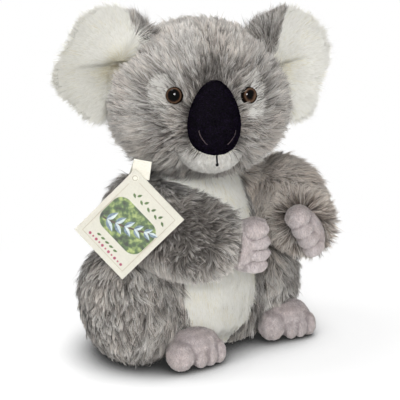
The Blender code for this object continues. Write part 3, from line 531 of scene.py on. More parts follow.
def grow_pile(name, roots, normals, comb, body, slot, material, length_mm, lean, tone, tone_spread=0.11,
              dark_share=0.0, width_mm=0.32, tuft=8, pull=0.50, swirl=10.0, wander=0.0, wander_mm=14.0,
              strays=0.015, soft=0.62, warmth=0.42, steps=3, clear_of=(), seed=1):
    """One piece of pile. comb, length_mm, lean, tone, dark_share and wander are one value or one for
    each root. wander turns the comb to and fro by so many degrees over patches of wander_mm."""
    count = len(roots)
    random = np.random.RandomState(seed)
    comb = along_skin(np.broadcast_to(comb, roots.shape), normals)
    leaders = random.permutation(count)[:max(1, count // tuft)]
    nearest = nearest_index(roots[leaders], roots)
    of_tuft = leaders[nearest]
    side = np.cross(normals, comb)
    angle = random.normal(0.0, swirl, len(leaders))[nearest] + random.normal(0.0, STRAND_SWIRL, count)
    angle = np.radians(angle + wander * waves(roots, wander_mm, seed + 7))
    comb = comb * np.cos(angle)[:, None] + side * np.sin(angle)[:, None]
    stretch = random.normal(1.0, TUFT_STRETCH, len(leaders))[nearest]
    stretch = stretch * random.normal(1.0, STRAND_STRETCH, count)
    lengths = length_mm * MM * np.clip(stretch, 0.6, 1.4)
    lean_jitter = random.normal(0.0, TUFT_LEAN, len(leaders))[nearest]
    lean_jitter = lean_jitter + random.normal(0.0, STRAND_LEAN, count)
    loose = random.rand(count) < strays
    lengths = lengths * np.where(loose, STRAY_LENGTH, 1.0)
    lean_jitter = lean_jitter - np.where(loose, STRAY_LIFT, 0.0)
    low, high = (np.broadcast_to(value, (count,)) for value in lean)

    def path_at(share):
        angles = np.radians(np.clip(low + (high - low) * share + lean_jitter, 0.0, FLATTEST))[:, None]
        reach = (lengths * share)[:, None]
        return roots + reach * (normals * np.cos(angles) + comb * np.sin(angles))

    paths = []
    for step in range(steps + 1):
        share = step / steps
        own = path_at(share)
        drawn = pull * share ** TIP_PULL * np.where(loose, 0.0, 1.0)
        paths.append(own + (own[of_tuft] - own) * drawn[:, None])
    for tree_of in clear_of:
        keep = np.ones(count)
        for step in range(steps, 0, -1):
            touching = inside(tree_of, paths[step])
            keep[touching] = SHORTENED[step - 1] if steps == len(SHORTENED) else 0.0
        for step in range(1, steps + 1):
            paths[step] = paths[0] + (paths[step] - paths[0]) * keep[:, None]
    kept = np.linalg.norm(paths[-1] - paths[0], axis=1) > SHORTEST
    heading = unit(paths[-1] - paths[0])
    across = unit(np.cross(heading, normals) + side * 0.05)
    twist = np.radians(random.normal(0.0, STRAND_TWIST, count))[:, None]
    across = across * np.cos(twist) + np.cross(heading, across) * np.sin(twist)
    tones = tone + random.normal(0.0, tone_spread, len(leaders))[nearest]
    tones = tones + random.normal(0.0, tone_spread, count)
    dark_share = np.asarray(dark_share)
    in_streak = waves(roots, STREAK_MM, seed + 5) > STREAK_LEVEL - STREAK_GAIN * dark_share
    in_streak = in_streak & (dark_share > 0.0)
    tones = tones - np.where(in_streak & (random.rand(count) < IN_STREAK), DARK_DROP, 0.0)
    shade = warmth + HUE_PATCH * waves(roots, HUE_MM, seed + 9) + random.normal(0.0, HUE_SPREAD, count)
    hues = (shade > WARM_FROM).astype(float) + (shade > PINK_FROM)
    widths = width_mm * random.uniform(0.75, 1.2, count)
    chosen = np.flatnonzero(kept)
    parts = math.ceil(len(chosen) * (2 * steps - 1) / MOST_TRIANGLES)
    made = []
    for part in range(parts):
        some = chosen[part::parts]
        own_paths = [path[some] for path in paths]
        mesh = strand_mesh(name, own_paths, *pick(some, across, normals, widths, tones, hues), soft)
        made.append(show(name + ("_" + str(part + 1) if part else ""), mesh, material, body))
    print(name, len(chosen), "strands in", parts, "pieces")
    return made[0]

# %% [markdown]
# ## Places on the toy
# The head turns and tilts on the body, and each ear has its own frame on the head. Naming these
# frames once lets every later piece sit where the solids have it.


# %% Frames of the head, the nose, the ears and the tag
def turn(degrees, axis):
    return Matrix.Rotation(math.radians(degrees), 4, axis)


def to_frame(place, points):
    """Points of the toy in a frame's own coordinates."""
    inverse = np.array(place.inverted())
    return points @ inverse[:3, :3].T + inverse[:3, 3]


def way_from(place, vectors):
    """Directions of a frame as directions of the toy."""
    return np.atleast_2d(vectors) @ np.array(place)[:3, :3].T


SIDES = {"right": -1.0, "left": 1.0}      # the toy's own right is -X
HEAD_HALF = Vector((0.0540, 0.0465, 0.0460))
HEAD_PLACE = Matrix.Translation((0.0, -0.004, 0.1640)) @ turn(-19.0, "Z") @ turn(2.5, "Y")
NOSE_PLACE = HEAD_PLACE @ Matrix.Translation((0.0, -0.0510, -0.0020)) @ turn(-8.0, "X")
EAR_YAW = {"right": 14.0, "left": 20.0}
EAR_PLACES = {word: HEAD_PLACE @ Matrix.Translation((side * 0.0435, 0.0040, 0.0165))
              @ turn(-side * 24.0, "Y") @ turn(side * EAR_YAW[word], "Z") for word, side in SIDES.items()}
EAR_HALF = (0.0290, 0.0355)
EAR_MIDDLE = (0.0130, -0.0045)
TAG_PLACE = (Matrix.Translation((-0.0578, -0.0318, 0.1328))
             @ turn(-41.0, "Z") @ turn(-9.0, "X") @ turn(43.5, "Y"))
TAG_SPINE, TAG_SIDE = 0.0410, 0.0520
DOWN = np.array([[0.0, 0.0, -1.0]])


def face_spot(across, up):
    """Frame on the face over a place across and up, with Z pointing out of the skin."""
    depth = HEAD_HALF.y * math.sqrt(1.0 - (across / HEAD_HALF.x) ** 2 - (up / HEAD_HALF.z) ** 2)
    out = Vector((across / HEAD_HALF.x ** 2, -depth / HEAD_HALF.y ** 2, up / HEAD_HALF.z ** 2))
    facing = Vector((0.0, 0.0, 1.0)).rotation_difference(out.normalized()).to_matrix().to_4x4()
    return HEAD_PLACE @ Matrix.Translation((across, -depth, up)) @ facing


print("middle of the head in mm", [round(value / MM, 1) for value in HEAD_PLACE.translation])

# %% [markdown]
# ## Ears, paws and muzzle
# An ear is two layers sewn round its rim. It cups forward, and its upper half folds over the lower
# one near the head. The paws and the muzzle are small stuffed shapes in shorter cloth.


# %% Folded ears
EAR_SHRINK = 0.03                # room for the pile that stands out past the rim
EAR_DIPS = {                     # where the rim dips in: degrees round the ear, depth and width
    "right": ((2.0, 0.20, 30.0), (-76.0, 0.17, 30.0)),
    "left": ((-50.0, 0.34, 38.0),)}
FOLD_LEVEL = {"right": (0.06, -0.62), "left": (0.10, -0.20)}      # height of the fold and its slope
FOLD_GAIN = {"right": 1.0, "left": 0.65}
FOLD_ROLL, FOLD_HOLLOW, FOLD_DROOP = 4.5 * MM, 3.4 * MM, 3.0 * MM


def ear_rim(word, across, up):
    """How far out the rim of an ear lies in this direction, as a share of the plain oval."""
    share = 1.0 - EAR_SHRINK
    for middle, depth, width in EAR_DIPS[word]:
        from_dip = np.degrees(np.arctan2(up, across)) - middle
        from_dip = (from_dip + 180.0) % 360.0 - 180.0
        share = share - depth * np.exp(-(from_dip / width) ** 2)
    return share


def on_ear(word, points, normals):
    """Points in an ear's own frame, how far they face its back, and their places on its oval."""
    place = EAR_PLACES[word]
    spots = to_frame(place, points)
    facing = to_frame(place.to_3x3().to_4x4(), normals)[:, 1]
    across = (spots[:, 0] * SIDES[word] - EAR_MIDDLE[0]) / EAR_HALF[0]
    up = (spots[:, 2] - EAR_MIDDLE[1]) / EAR_HALF[1]
    return spots, facing, across, up


def fold_ear(mesh, word):
    """Rolls the upper half of the ear's front forward over a hollow beside the head."""
    points, normals = mesh_points(mesh)
    spots, facing, across, up = on_ear(word, points, normals)
    drawn_in = (1.0 - ear_rim(word, across, up)) * smooth_step(0.2, 0.9, np.hypot(across, up))
    level, slope = FOLD_LEVEL[word]
    up = up - level - slope * across
    front = smooth_step(0.15, -0.35, facing) * smooth_step(0.70, -0.20, across) * FOLD_GAIN[word]
    roll = np.exp(-((up - 0.18) / 0.30) ** 2) * smooth_step(-0.04, 0.05, up)
    hollow = np.exp(-((up + 0.12) / 0.32) ** 2) * smooth_step(0.05, -0.04, up)
    hollow = hollow * smooth_step(0.30, -0.45, across)
    middle = np.array([EAR_MIDDLE[0] * SIDES[word], 0.0, EAR_MIDDLE[1]])
    in_plane = (middle - spots) * np.array([1.0, 0.0, 1.0])
    forward = front * (FOLD_HOLLOW * hollow - FOLD_ROLL * roll)
    down = -front * FOLD_DROOP * roll * smooth_step(0.40, 0.0, up)
    shift = np.stack([np.zeros(len(up)), forward, down], 1)
    move_points(mesh, points + way_from(EAR_PLACES[word], shift + drawn_in[:, None] * in_plane))


# %% [markdown]
# The digits of a paw are drawn in by stitches, and the remeshed skins soften them. How deep each
# point lies in a crease is measured here. It tightens the creases, and later paints shade into their pile.


# %% Creases between the digits
CREASE_GAIN = 0.9                # how much tighter than the remeshed skin a crease is drawn
LEAST_CREASE, MOST_CREASE = -0.2 * MM, 0.8 * MM
EASE = 0.6                       # how far each round draws a point to the mean of its neighbours


def hollows(mesh, rounds=12):
    """How far each point lies below its surroundings, in metres, and so how deep a crease it is in."""
    points, normals = mesh_points(mesh)
    edges = np.array([tuple(edge.vertices) for edge in mesh.edges])
    ends = np.concatenate([edges[:, 0], edges[:, 1]])
    others = np.concatenate([edges[:, 1], edges[:, 0]])
    degree = np.bincount(ends, minlength=len(points))[:, None]
    smoothed = points.copy()
    for _ in range(rounds):
        sums = [np.bincount(ends, smoothed[others, axis], len(points)) for axis in range(3)]
        smoothed = (1.0 - EASE) * smoothed + EASE * np.stack(sums, 1) / degree
    return np.sum((smoothed - points) * normals, axis=1)


def tighten(mesh, turned=0.0):
    """Draws the creases of a paw in, turns it on its stuffing and returns the creases' depths."""
    depth = hollows(mesh)
    points, normals = mesh_points(mesh)
    points = points - normals * (CREASE_GAIN * np.clip(depth, LEAST_CREASE, MOST_CREASE))[:, None]
    if turned:
        middle = points.mean(axis=0) * (1.0, 1.0, 0.0)
        points = way_from(turn(turned, "Z"), points - middle) + middle
    move_points(mesh, points)
    return depth


# %% [markdown]
# These smaller coats are made from their solids in the same way as the large ones, with rounds of
# smoothing that leave each paw's digits as soft as the photograph shows them.

# %% Ears, paws and muzzle
PAW_INSET = {"hand": -0.6, "foot": 0.0}        # millimetres
PAW_SOFTENED = {"hand_right": 9, "hand_left": 26, "foot_right": 26, "foot_left": 28}     # rounds
PAW_TURN = {"foot_right": 14.0}                # degrees that a paw is turned inwards
PAW_LIMB = {"hand": "arm", "foot": "leg"}
crease_depth = {}
for word in SIDES:
    nodes = ("ear_back_" + word, "ear_front_" + word)
    mesh = skin_mesh("ear", nodes, 1.1, 6, 0.3)
    fold_ear(mesh, word)
    add_coat("ear_coat_" + word, mesh, WHITE_BACKING, "ear_" + word, "white_plush", 0.2, *nodes)
    for paw, limb in PAW_LIMB.items():
        node = paw + "_" + word
        mesh = skin_mesh(paw, (node,), 0.7, PAW_SOFTENED[node], PAW_INSET[paw])
        crease_depth[node] = tighten(mesh, PAW_TURN.get(node, 0.0))
        add_coat(paw + "_coat_" + word, mesh, VELOUR_BACKING, limb + "_" + word, "velour", 0.6, node)
mesh = skin_mesh("muzzle", ("muzzle",), 1.0, 6, 0.2)
add_coat("muzzle_coat", mesh, WHITE_BACKING, "head", "white_plush", 0.7, "muzzle")
print("deepest crease in mm", round(max(depth.max() for depth in crease_depth.values()) / MM, 2))

# %% [markdown]
# ## Nose
# The nose is black suede drawn tight over stuffing. Its form is plain enough for a formula: an egg
# whose rings narrow towards the top. Its nostrils are sewn on later, with the threads.


# %% Nose
def egg(name, half, taper, place, around=56, along=36):
    """Closed egg about Z that narrows towards its top."""
    shape = bmesh.new()
    rings = []
    for level in range(1, along):
        angle = math.pi * level / along
        height = -math.cos(angle)
        width = math.sin(angle) * (1.0 - taper * height)
        rings.append([shape.verts.new(place @ Vector((half[0] * width * x, half[1] * width * y,
                                                      half[2] * height))) for x, y in circle(around)])
    low = shape.verts.new(place @ Vector((0.0, 0.0, -half[2])))
    high = shape.verts.new(place @ Vector((0.0, 0.0, half[2])))
    for spot in range(around):
        after = (spot + 1) % around
        shape.faces.new((low, rings[0][after], rings[0][spot]))
        shape.faces.new((high, rings[-1][spot], rings[-1][after]))
        for lower, upper in zip(rings, rings[1:]):
            shape.faces.new((lower[spot], lower[after], upper[after], upper[spot]))
    return shaped(name, shape)


NOSE_HALF = (0.0150, 0.0125, 0.0220)
NOSE_TAPER = 0.20
mesh = egg("nose", NOSE_HALF, NOSE_TAPER, NOSE_PLACE)
add_coat("nose_leather", mesh, SUEDE, "head", "suede", 0.8, "nose")

# %% [markdown]
# ## Eyes
# Safety eyes are moulded acrylic: a clear dome over an amber ring and a black middle, pressed
# through the cloth onto a washer. The dome is what catches the light. A map that runs outwards from
# the pupil carries the rings, as the paint does under the real dome.


# %% Eyes
EYE_RADIUS, EYE_HEIGHT = 5.1 * MM, 4.0 * MM
EYE_ASIDE, EYE_UP = 0.0222, 0.0095             # the eyes' places on the face
EYE_FOOT = -0.35                               # how far the dome's rim goes on into the cloth
PUPIL_ASIDE = {"right": (0.16, 0.04), "left": (-0.62, 0.04)}      # the dome shows each pupil aside
RING_WIDER = {"right": 1.0, "left": 1.5}
EYE_MAP = "eye rings"


def eye_finish():
    """Acrylic painted behind, so that only the clear coat over the rings reflects."""
    made, tree, shader = finish("amber safety eye", Roughness=0.35, Coat_Weight=0.15, Coat_Roughness=0.03,
                                Specular_IOR_Level=0.0)
    place = add_node(tree, "ShaderNodeUVMap", {"uv_map": EYE_MAP})
    split = add_node(tree, "ShaderNodeSeparateXYZ", sockets={"Vector": place.outputs["UV"]})
    rings = add_node(tree, "ShaderNodeValToRGB", sockets={"Fac": split.outputs["Y"]},
                     stops=[(0.0, "#010101"), (0.58, "#020101"), (0.65, "#140b07"), (0.73, "#35241a"),
                            (0.82, "#5c4636"), (0.89, "#33251b"), (0.94, "#160e09"), (1.0, "#0b0705")])
    tree.links.new(rings.outputs["Color"], shader.inputs["Base Color"])
    return made


EYE_PLASTIC = eye_finish()


def eye_mesh(place, aside, wider, around=40, rings=18):
    """Dome whose map runs outwards from the middle of its pupil, which sits a little aside.

    Where wider is over 1, the amber ring takes more of the dome."""
    shape = bmesh.new()
    layer = shape.loops.layers.uv.new(EYE_MAP)
    angles = [math.pi / 2.0 * ring / rings for ring in range(1, rings + 1)]
    levels = [(math.sin(angle), math.cos(angle)) for angle in angles] + [(1.0, EYE_FOOT)]
    rows = [[shape.verts.new(place @ Vector((EYE_RADIUS * width * x, EYE_RADIUS * width * y,
                                             EYE_HEIGHT * height))) for x, y in circle(around)]
            for width, height in levels]
    top = shape.verts.new(place @ Vector((0.0, 0.0, EYE_HEIGHT)))
    under = shape.verts.new(place @ Vector((0.0, 0.0, EYE_FOOT * EYE_HEIGHT)))
    share_of = {top: 0.0, under: 1.0}
    for (width, _), row in zip(levels, rows):
        for corner in row:
            flat = place.inverted() @ corner.co / EYE_RADIUS
            reach = math.hypot(flat.x - aside[0] * (1.0 - width), flat.y - aside[1] * (1.0 - width))
            share_of[corner] = min(1.0, reach ** (1.0 / wider))
    for spot in range(around):
        after = (spot + 1) % around
        shape.faces.new((top, rows[0][spot], rows[0][after]))
        shape.faces.new((under, rows[-1][after], rows[-1][spot]))
        for inner, outer in zip(rows, rows[1:]):
            shape.faces.new((inner[spot], outer[spot], outer[after], inner[after]))
    for face in shape.faces:
        for loop in face.loops:
            loop[layer].uv = (0.5, share_of[loop.vert])
    return shaped("eye", shape)


eyes = {}
for word, side in SIDES.items():
    dome = eye_mesh(face_spot(side * EYE_ASIDE, EYE_UP), PUPIL_ASIDE[word], RING_WIDER[word])
    eyes[word] = show("eye_dome_" + word, dome, EYE_PLASTIC, "head")
    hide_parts("eye_" + word)
print("eyes", len(eyes), "of", round(2.0 * EYE_RADIUS / MM, 1), "mm")

# %% [markdown]
# ## The coat
# Pile is combed on a real toy before it is photographed. On the face it runs outwards from the
# nose, on the ears outwards from the head, and elsewhere downwards. Round the middle of the right
# forearm and round the left hand it stands up, so the dark roots show there. Each coat gets a
# search tree first, which keeps roots and tips out of the neighbours.

# %% Search trees of everything that strands must clear
ROOT_MARGIN_MM = 0.2
TAG_ROOM_AT, TAG_ROOM = (0.0205, 0.0004, -0.026), (0.045, 0.0056, 0.056)      # a slab round the card
solid = {name: solid_test(coat.data) for name, coat in coats.items()}
for word in SIDES:
    solid["eye_" + word] = solid_test(eyes[word].data)
slab = bmesh.new()
bmesh.ops.create_cube(slab, size=1.0, matrix=TAG_PLACE @ Matrix.Translation(TAG_ROOM_AT)
                      @ Matrix.Diagonal((*TAG_ROOM, 1.0)))
slab_mesh = shaped("room for the tag", slab, smooth=False)
solid["tag"] = solid_test(slab_mesh)
bpy.data.meshes.remove(slab_mesh)


def bare_roots(coat, per_mm2, seed, *others):
    """Roots on a coat that no other coat covers."""
    roots, normals = skin_roots(coats[coat].data, per_mm2, seed)
    kept = np.ones(len(roots), bool)
    for other in others:
        kept &= ~inside(solid[other], roots, ROOT_MARGIN_MM)
    return roots[kept], normals[kept]


def distance_to(name, points):
    """How far each point lies from the surface of a coat."""
    return np.array([solid[name][0].find_nearest(point)[3] for point in points])


def near_spot(spots, across, up, half_across, half_up):
    """1 at a place across and up in a frame, which fades to 0 around it."""
    return np.exp(-(((spots[:, 0] - across) / half_across) ** 2 + ((spots[:, 2] - up) / half_up) ** 2))


print("search trees", len(solid))

# %% [markdown]
# The face is where the pile varies most. It is short round the nose and long on the cheeks, and light
# on the crown and the outer cheeks. Above the nose it is dark. A few long strands hang over the inner
# edge of the left eye. White pile mingles with the grey round each eye.

# %% Head
PATCHES = {                      # places across and up the face, half widths and half heights
    "right": (-0.0268, 0.0085, 0.0082, 0.0112),
    "left": (0.0240, 0.0078, 0.0092, 0.0150)}
PATCH_TONE = {"right": 0.50, "left": 0.74}
NOSE_SPOT = np.array([0.0, -0.0500, -0.0060])      # the pile of the face is combed away from here
HEAD_CLEAR = [solid[name] for name in ("nose_leather", "eye_right", "eye_left", "tag")]
roots, normals = bare_roots("head_coat", 4.0, 11, "nose_leather", "muzzle_coat", "torso_coat", "eye_right",
                            "eye_left", "ear_coat_right", "ear_coat_left")
spots = to_frame(HEAD_PLACE, roots)
across, depth, up = spots.T
on_face = depth < 0.0
from_nose = spots - NOSE_SPOT
distance = np.linalg.norm(from_nose, axis=1)
to_back = smooth_step(-0.004, 0.026, depth)[:, None]
comb = way_from(HEAD_PLACE, unit(from_nose)) * (1.0 - to_back) + DOWN * to_back
crown = smooth_step(0.018, 0.036, up)
outer = smooth_step(0.026, 0.046, np.abs(across))
low = smooth_step(-0.004, -0.028, up)
above_nose = near_spot(spots, 0.0, 0.024, 0.008, 0.012) * on_face
over_eye = near_spot(spots, 0.0152, 0.0045, 0.0028, 0.0048) * on_face
below_eye = np.maximum(*(near_spot(spots, side * 0.024, -0.013, 0.010, 0.009) for side in SIDES.values()))
near_nose = np.exp(-((distance - 0.022) / 0.010) ** 2)
nose_edge = np.exp(-(distance_to("nose_leather", roots) / 0.0060) ** 2)
nose_edge = nose_edge * (0.55 + 0.45 * smooth_step(-0.005, 0.010, up))
to_ear = np.minimum(*(distance_to("ear_coat_" + word, roots) for word in SIDES))
length = 5.0 + 7.5 * smooth_step(0.014, 0.042, distance) - 3.0 * smooth_step(0.008, 0.024, up)
length = length - 3.2 * smooth_step(0.030, 0.050, np.abs(across)) * smooth_step(0.012, 0.000, up)
length = length * (0.42 + 0.58 * smooth_step(0.001, 0.014, to_ear)) + 4.6 * over_eye
# painted light: the lower face is made lighter to offset the shade that falls there
tone = 0.58 + 0.24 * crown + 0.24 * outer + 0.12 * low + 0.34 * over_eye
tone = tone - 0.26 * above_nose - 0.08 * near_nose - 0.24 * nose_edge
tone = tone + 0.17 * waves(roots, 13.0, 3) + 0.14 * waves(roots, 6.5, 14) + 0.12 * waves(roots, 3.4, 4)
dark_share = 0.16 + 0.10 * near_nose + 0.42 * above_nose + 0.36 * nose_edge
dark_share = dark_share + 0.16 * below_eye - 0.12 * crown
patch_reach = np.full(len(roots), np.inf)
for patch_across, patch_up, half_across, half_up in PATCHES.values():
    centre = to_frame(HEAD_PLACE, np.array([face_spot(patch_across, patch_up).translation]))[0]
    reach = np.hypot((across - centre[0]) / half_across, (up - centre[2]) / half_up)
    patch_reach = np.minimum(patch_reach, reach)
patch = scattered(0.92 * smooth_step(1.25, 0.75, patch_reach), 12) & on_face
grey = ~patch
at_root = 38.0 + 16.0 * crown - 16.0 * over_eye
at_tip = 70.0 + 10.0 * crown - 7.0 * over_eye
grow_pile("head_pile", *pick(grey, roots, normals, comb), "head", "grey_plush", GREY_PILE, length[grey],
          pick(grey, at_root, at_tip), tone[grey], tone_spread=0.13, dark_share=dark_share[grey],
          width_mm=0.29, wander=15.0, wander_mm=11.0, clear_of=HEAD_CLEAR, seed=21)
for word, side in SIDES.items():
    chosen = patch & (across * side > 0.0)
    rim = smooth_step(0.7, 1.1, patch_reach[chosen])
    made = grow_pile("eye_patch_pile_" + word, *pick(chosen, roots, normals, comb), "head", "white_plush",
                     SHORT_WHITE, 4.5, (58.0, 80.0), PATCH_TONE[word] - 0.25 * rim, tone_spread=0.05,
                     width_mm=0.30, pull=0.3, strays=0.0, soft=0.85, warmth=0.1,
                     clear_of=HEAD_CLEAR, seed=22)
    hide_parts("eye_patch_" + word)

# %% [markdown]
# The body's pile hangs down, grey on the sides and the back and white on the chest panel. No pile
# grows under the seat, which bears the toy.

# %% Body and chest panel
UNDERSIDE = -0.8                 # skin that faces further down than this belongs to the seat
CHEST_MIDDLE, CHEST_HALF, CHEST_NARROWS = 0.002, 0.027, 0.016
OTHER_COATS = ("arm_coat_right", "arm_coat_left", "leg_coat_right", "leg_coat_left", "head_coat")
HANDS = [solid["hand_coat_" + word] for word in SIDES]
FEET_AND_TAG = [solid["foot_coat_right"], solid["foot_coat_left"], solid["tag"]]


def on_chest(points):
    """Which roots stand on the white panel. Its lower end is narrow and grey pile closes over its edge."""
    half = CHEST_HALF - CHEST_NARROWS * (1.0 - smooth_step(0.000, 0.045, points[:, 2]))
    reach = np.abs(points[:, 0] - CHEST_MIDDLE) / half
    return scattered(smooth_step(1.08, 0.92, reach), 13) & (points[:, 1] < 0.004)


roots, normals = bare_roots("torso_coat", 2.7, 31, *OTHER_COATS)
roots, normals = pick(~on_chest(roots) & (normals[:, 2] >= UNDERSIDE), roots, normals)
grow_pile("torso_pile", roots, normals, DOWN, "body", "grey_plush", GREY_PILE,
          11.5 - 4.0 * smooth_step(0.018, 0.004, roots[:, 2]), (46.0, 76.0),
          0.54 + 0.17 * waves(roots, 22.0, 5) + 0.18 * waves(roots, 5.0, 6), tone_spread=0.17,
          dark_share=0.20, tuft=11, pull=0.58, wander=24.0, clear_of=HANDS + FEET_AND_TAG, seed=32)
roots, normals = bare_roots("torso_coat", 5.4, 35, *OTHER_COATS)
roots, normals = pick(on_chest(roots) & (normals[:, 2] > UNDERSIDE), roots, normals)
# painted light: the chest pile is made lighter towards the top, where the head shades it
made = grow_pile("chest_pile", roots, normals, DOWN, "body", "white_plush", CHEST_PILE,
                 7.0 - 3.5 * smooth_step(0.018, 0.005, roots[:, 2]), (68.0, 84.0),
                 0.58 + 0.42 * smooth_step(0.050, 0.095, roots[:, 2]), tone_spread=0.03, width_mm=0.28,
                 tuft=6, pull=0.22, swirl=4.0, wander=8.0, strays=0.0, soft=0.94, warmth=0.2,
                 clear_of=HANDS, seed=33)
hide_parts("chest_panel")

# %% [markdown]
# An arm's pile flows from the shoulder to the hand. On the right forearm it is tousled round a dark
# middle and hangs below as a light fringe. On the left arm it is tan, and long round the hand.

# %% Arms
ARM_WAY = {                      # shoulder, elbow and hand
    "right": ((-0.0440, 0.0060, 0.1040), (-0.0470, -0.0440, 0.0860), (0.0040, -0.0500, 0.0825)),
    "left": ((0.0520, 0.0120, 0.0960), (0.0680, -0.0180, 0.0880), (0.0540, -0.0500, 0.0800))}
ARM_TOUSLED = {"right": np.array([-0.0353, -0.0575, 0.0920]), "left": np.array([0.0523, -0.0500, 0.0825])}
ARM_DARKEST = {"right": 0.56, "left": 0.18}
# painted light: the left arm's pile is made lighter to offset the shade it sits in
ARM_TONE = {"right": 0.62, "left": 0.90}
ARM_WANDER = {"right": 50.0, "left": 8.0}
ARM_PILE = {"right": GREY_PILE, "left": TAN_PILE}
CUFF_MM = 11.0
CUFF_DROOP = np.array([0.004, 0.0, -0.006])      # the pile round the left hand leans outwards and down
LEFT_OUTWARDS = np.array([[0.30, 0.0, 0.0]])


def limb_flow(points, stations):
    """Direction of the nearer stretch of a bent limb, turning smoothly at its bend."""
    start, bend, end = (np.array([station]) for station in stations)
    first, second = unit(bend - start), unit(end - bend)
    share = smooth_step(-0.014, 0.014, dots(points - bend, unit(first + second)))
    return first * (1.0 - share) + second * share


for word in SIDES:
    roots, normals = bare_roots("arm_coat_" + word, 3.6, 41, "torso_coat", "leg_coat_" + word, "head_coat",
                                "hand_coat_" + word)
    height, none = roots[:, 2], np.zeros(len(roots))
    flow = limb_flow(roots, ARM_WAY[word])
    away = roots - ARM_TOUSLED[word]
    middle = 1.0 - smooth_step(0.009, 0.032, np.linalg.norm(away, axis=1))
    to_hand = distance_to("hand_coat_" + word, roots)
    if word == "right":
        drop = 0.30 + 0.55 * smooth_step(0.092, 0.076, height)[:, None]
        comb = flow * 0.45 + unit(away) * 0.35 + DOWN * drop
        fringe, painted_shoulder_shade = smooth_step(0.082, 0.062, height), smooth_step(0.092, 0.104, height)
        outer, cuff = none, none
    else:
        comb = flow * 0.35 + unit(away) * (0.30 + 0.6 * middle[:, None]) + DOWN * 0.45 + LEFT_OUTWARDS
        fringe, painted_shoulder_shade = none, none
        outer = smooth_step(0.082, 0.100, height) * smooth_step(0.30, 0.70, normals[:, 0])
        cuff = smooth_step(0.014, 0.003, to_hand)
    hand_middle = mesh_points(coats["hand_coat_" + word].data)[0].mean(axis=0)
    from_hand = unit(roots - hand_middle + CUFF_DROOP)
    comb = unit(comb) * (1.0 - cuff[:, None]) + from_hand * cuff[:, None]
    length = (9.5 - 4.0 * middle - 5.5 * outer) * (0.25 + 0.75 * smooth_step(0.001, 0.016, to_hand))
    length = length * (1.0 - cuff) + CUFF_MM * cuff
    # painted shade: the top of the right arm, under the head, is painted darker
    tone = ARM_TONE[word] - ARM_DARKEST[word] * middle + 0.34 * fringe - 0.28 * painted_shoulder_shade
    tone = tone + 0.17 * waves(roots, 15.0, 7) + 0.20 * waves(roots, 4.0, 8)
    tone = tone - 0.34 * smooth_step(0.006, 0.001, to_hand) * cuff + 0.10 * cuff
    grow_pile("arm_pile_" + word, roots, normals, comb, "arm_" + word, "grey_plush", ARM_PILE[word],
              length, (42.0 - 22.0 * middle, 72.0 - 28.0 * middle), tone, tone_spread=0.16,
              dark_share=np.maximum(0.20 + 0.26 * middle - 0.16 * fringe, 0.02), tuft=8, pull=0.56,
              swirl=16.0, wander=20.0 + ARM_WANDER[word] * middle, wander_mm=11.0,
              clear_of=[solid[name] for name in ("hand_coat_" + word, "torso_coat", "tag")], seed=42)

# %% [markdown]
# The legs' pile hangs forward and down in thick tufts. It is short on their outer sides, where the
# thighs lie closest to the floor.

# %% Legs
for word, side in SIDES.items():
    roots, normals = bare_roots("leg_coat_" + word, 3.1, 51, "torso_coat", "arm_coat_" + word,
                                "foot_coat_" + word)
    roots, normals = pick(normals[:, 2] >= UNDERSIDE, roots, normals)
    outside = smooth_step(0.055, 0.075, roots[:, 0] * side) * smooth_step(0.060, 0.030, roots[:, 2])
    comb = DOWN + np.array([[side * 0.15, -0.30, 0.0]])
    grow_pile("leg_pile_" + word, roots, normals, comb, "leg_" + word, "grey_plush", GREY_PILE,
              10.0 - 4.5 * outside, (48.0, 78.0),
              0.57 + 0.20 * waves(roots, 18.0, 9) + 0.19 * waves(roots, 5.0, 10), tone_spread=0.18,
              dark_share=0.20, tuft=11, pull=0.58, width_mm=0.36, wander=30.0,
              clear_of=[solid[name] for name in ("foot_coat_" + word, "torso_coat", "tag")], seed=52)
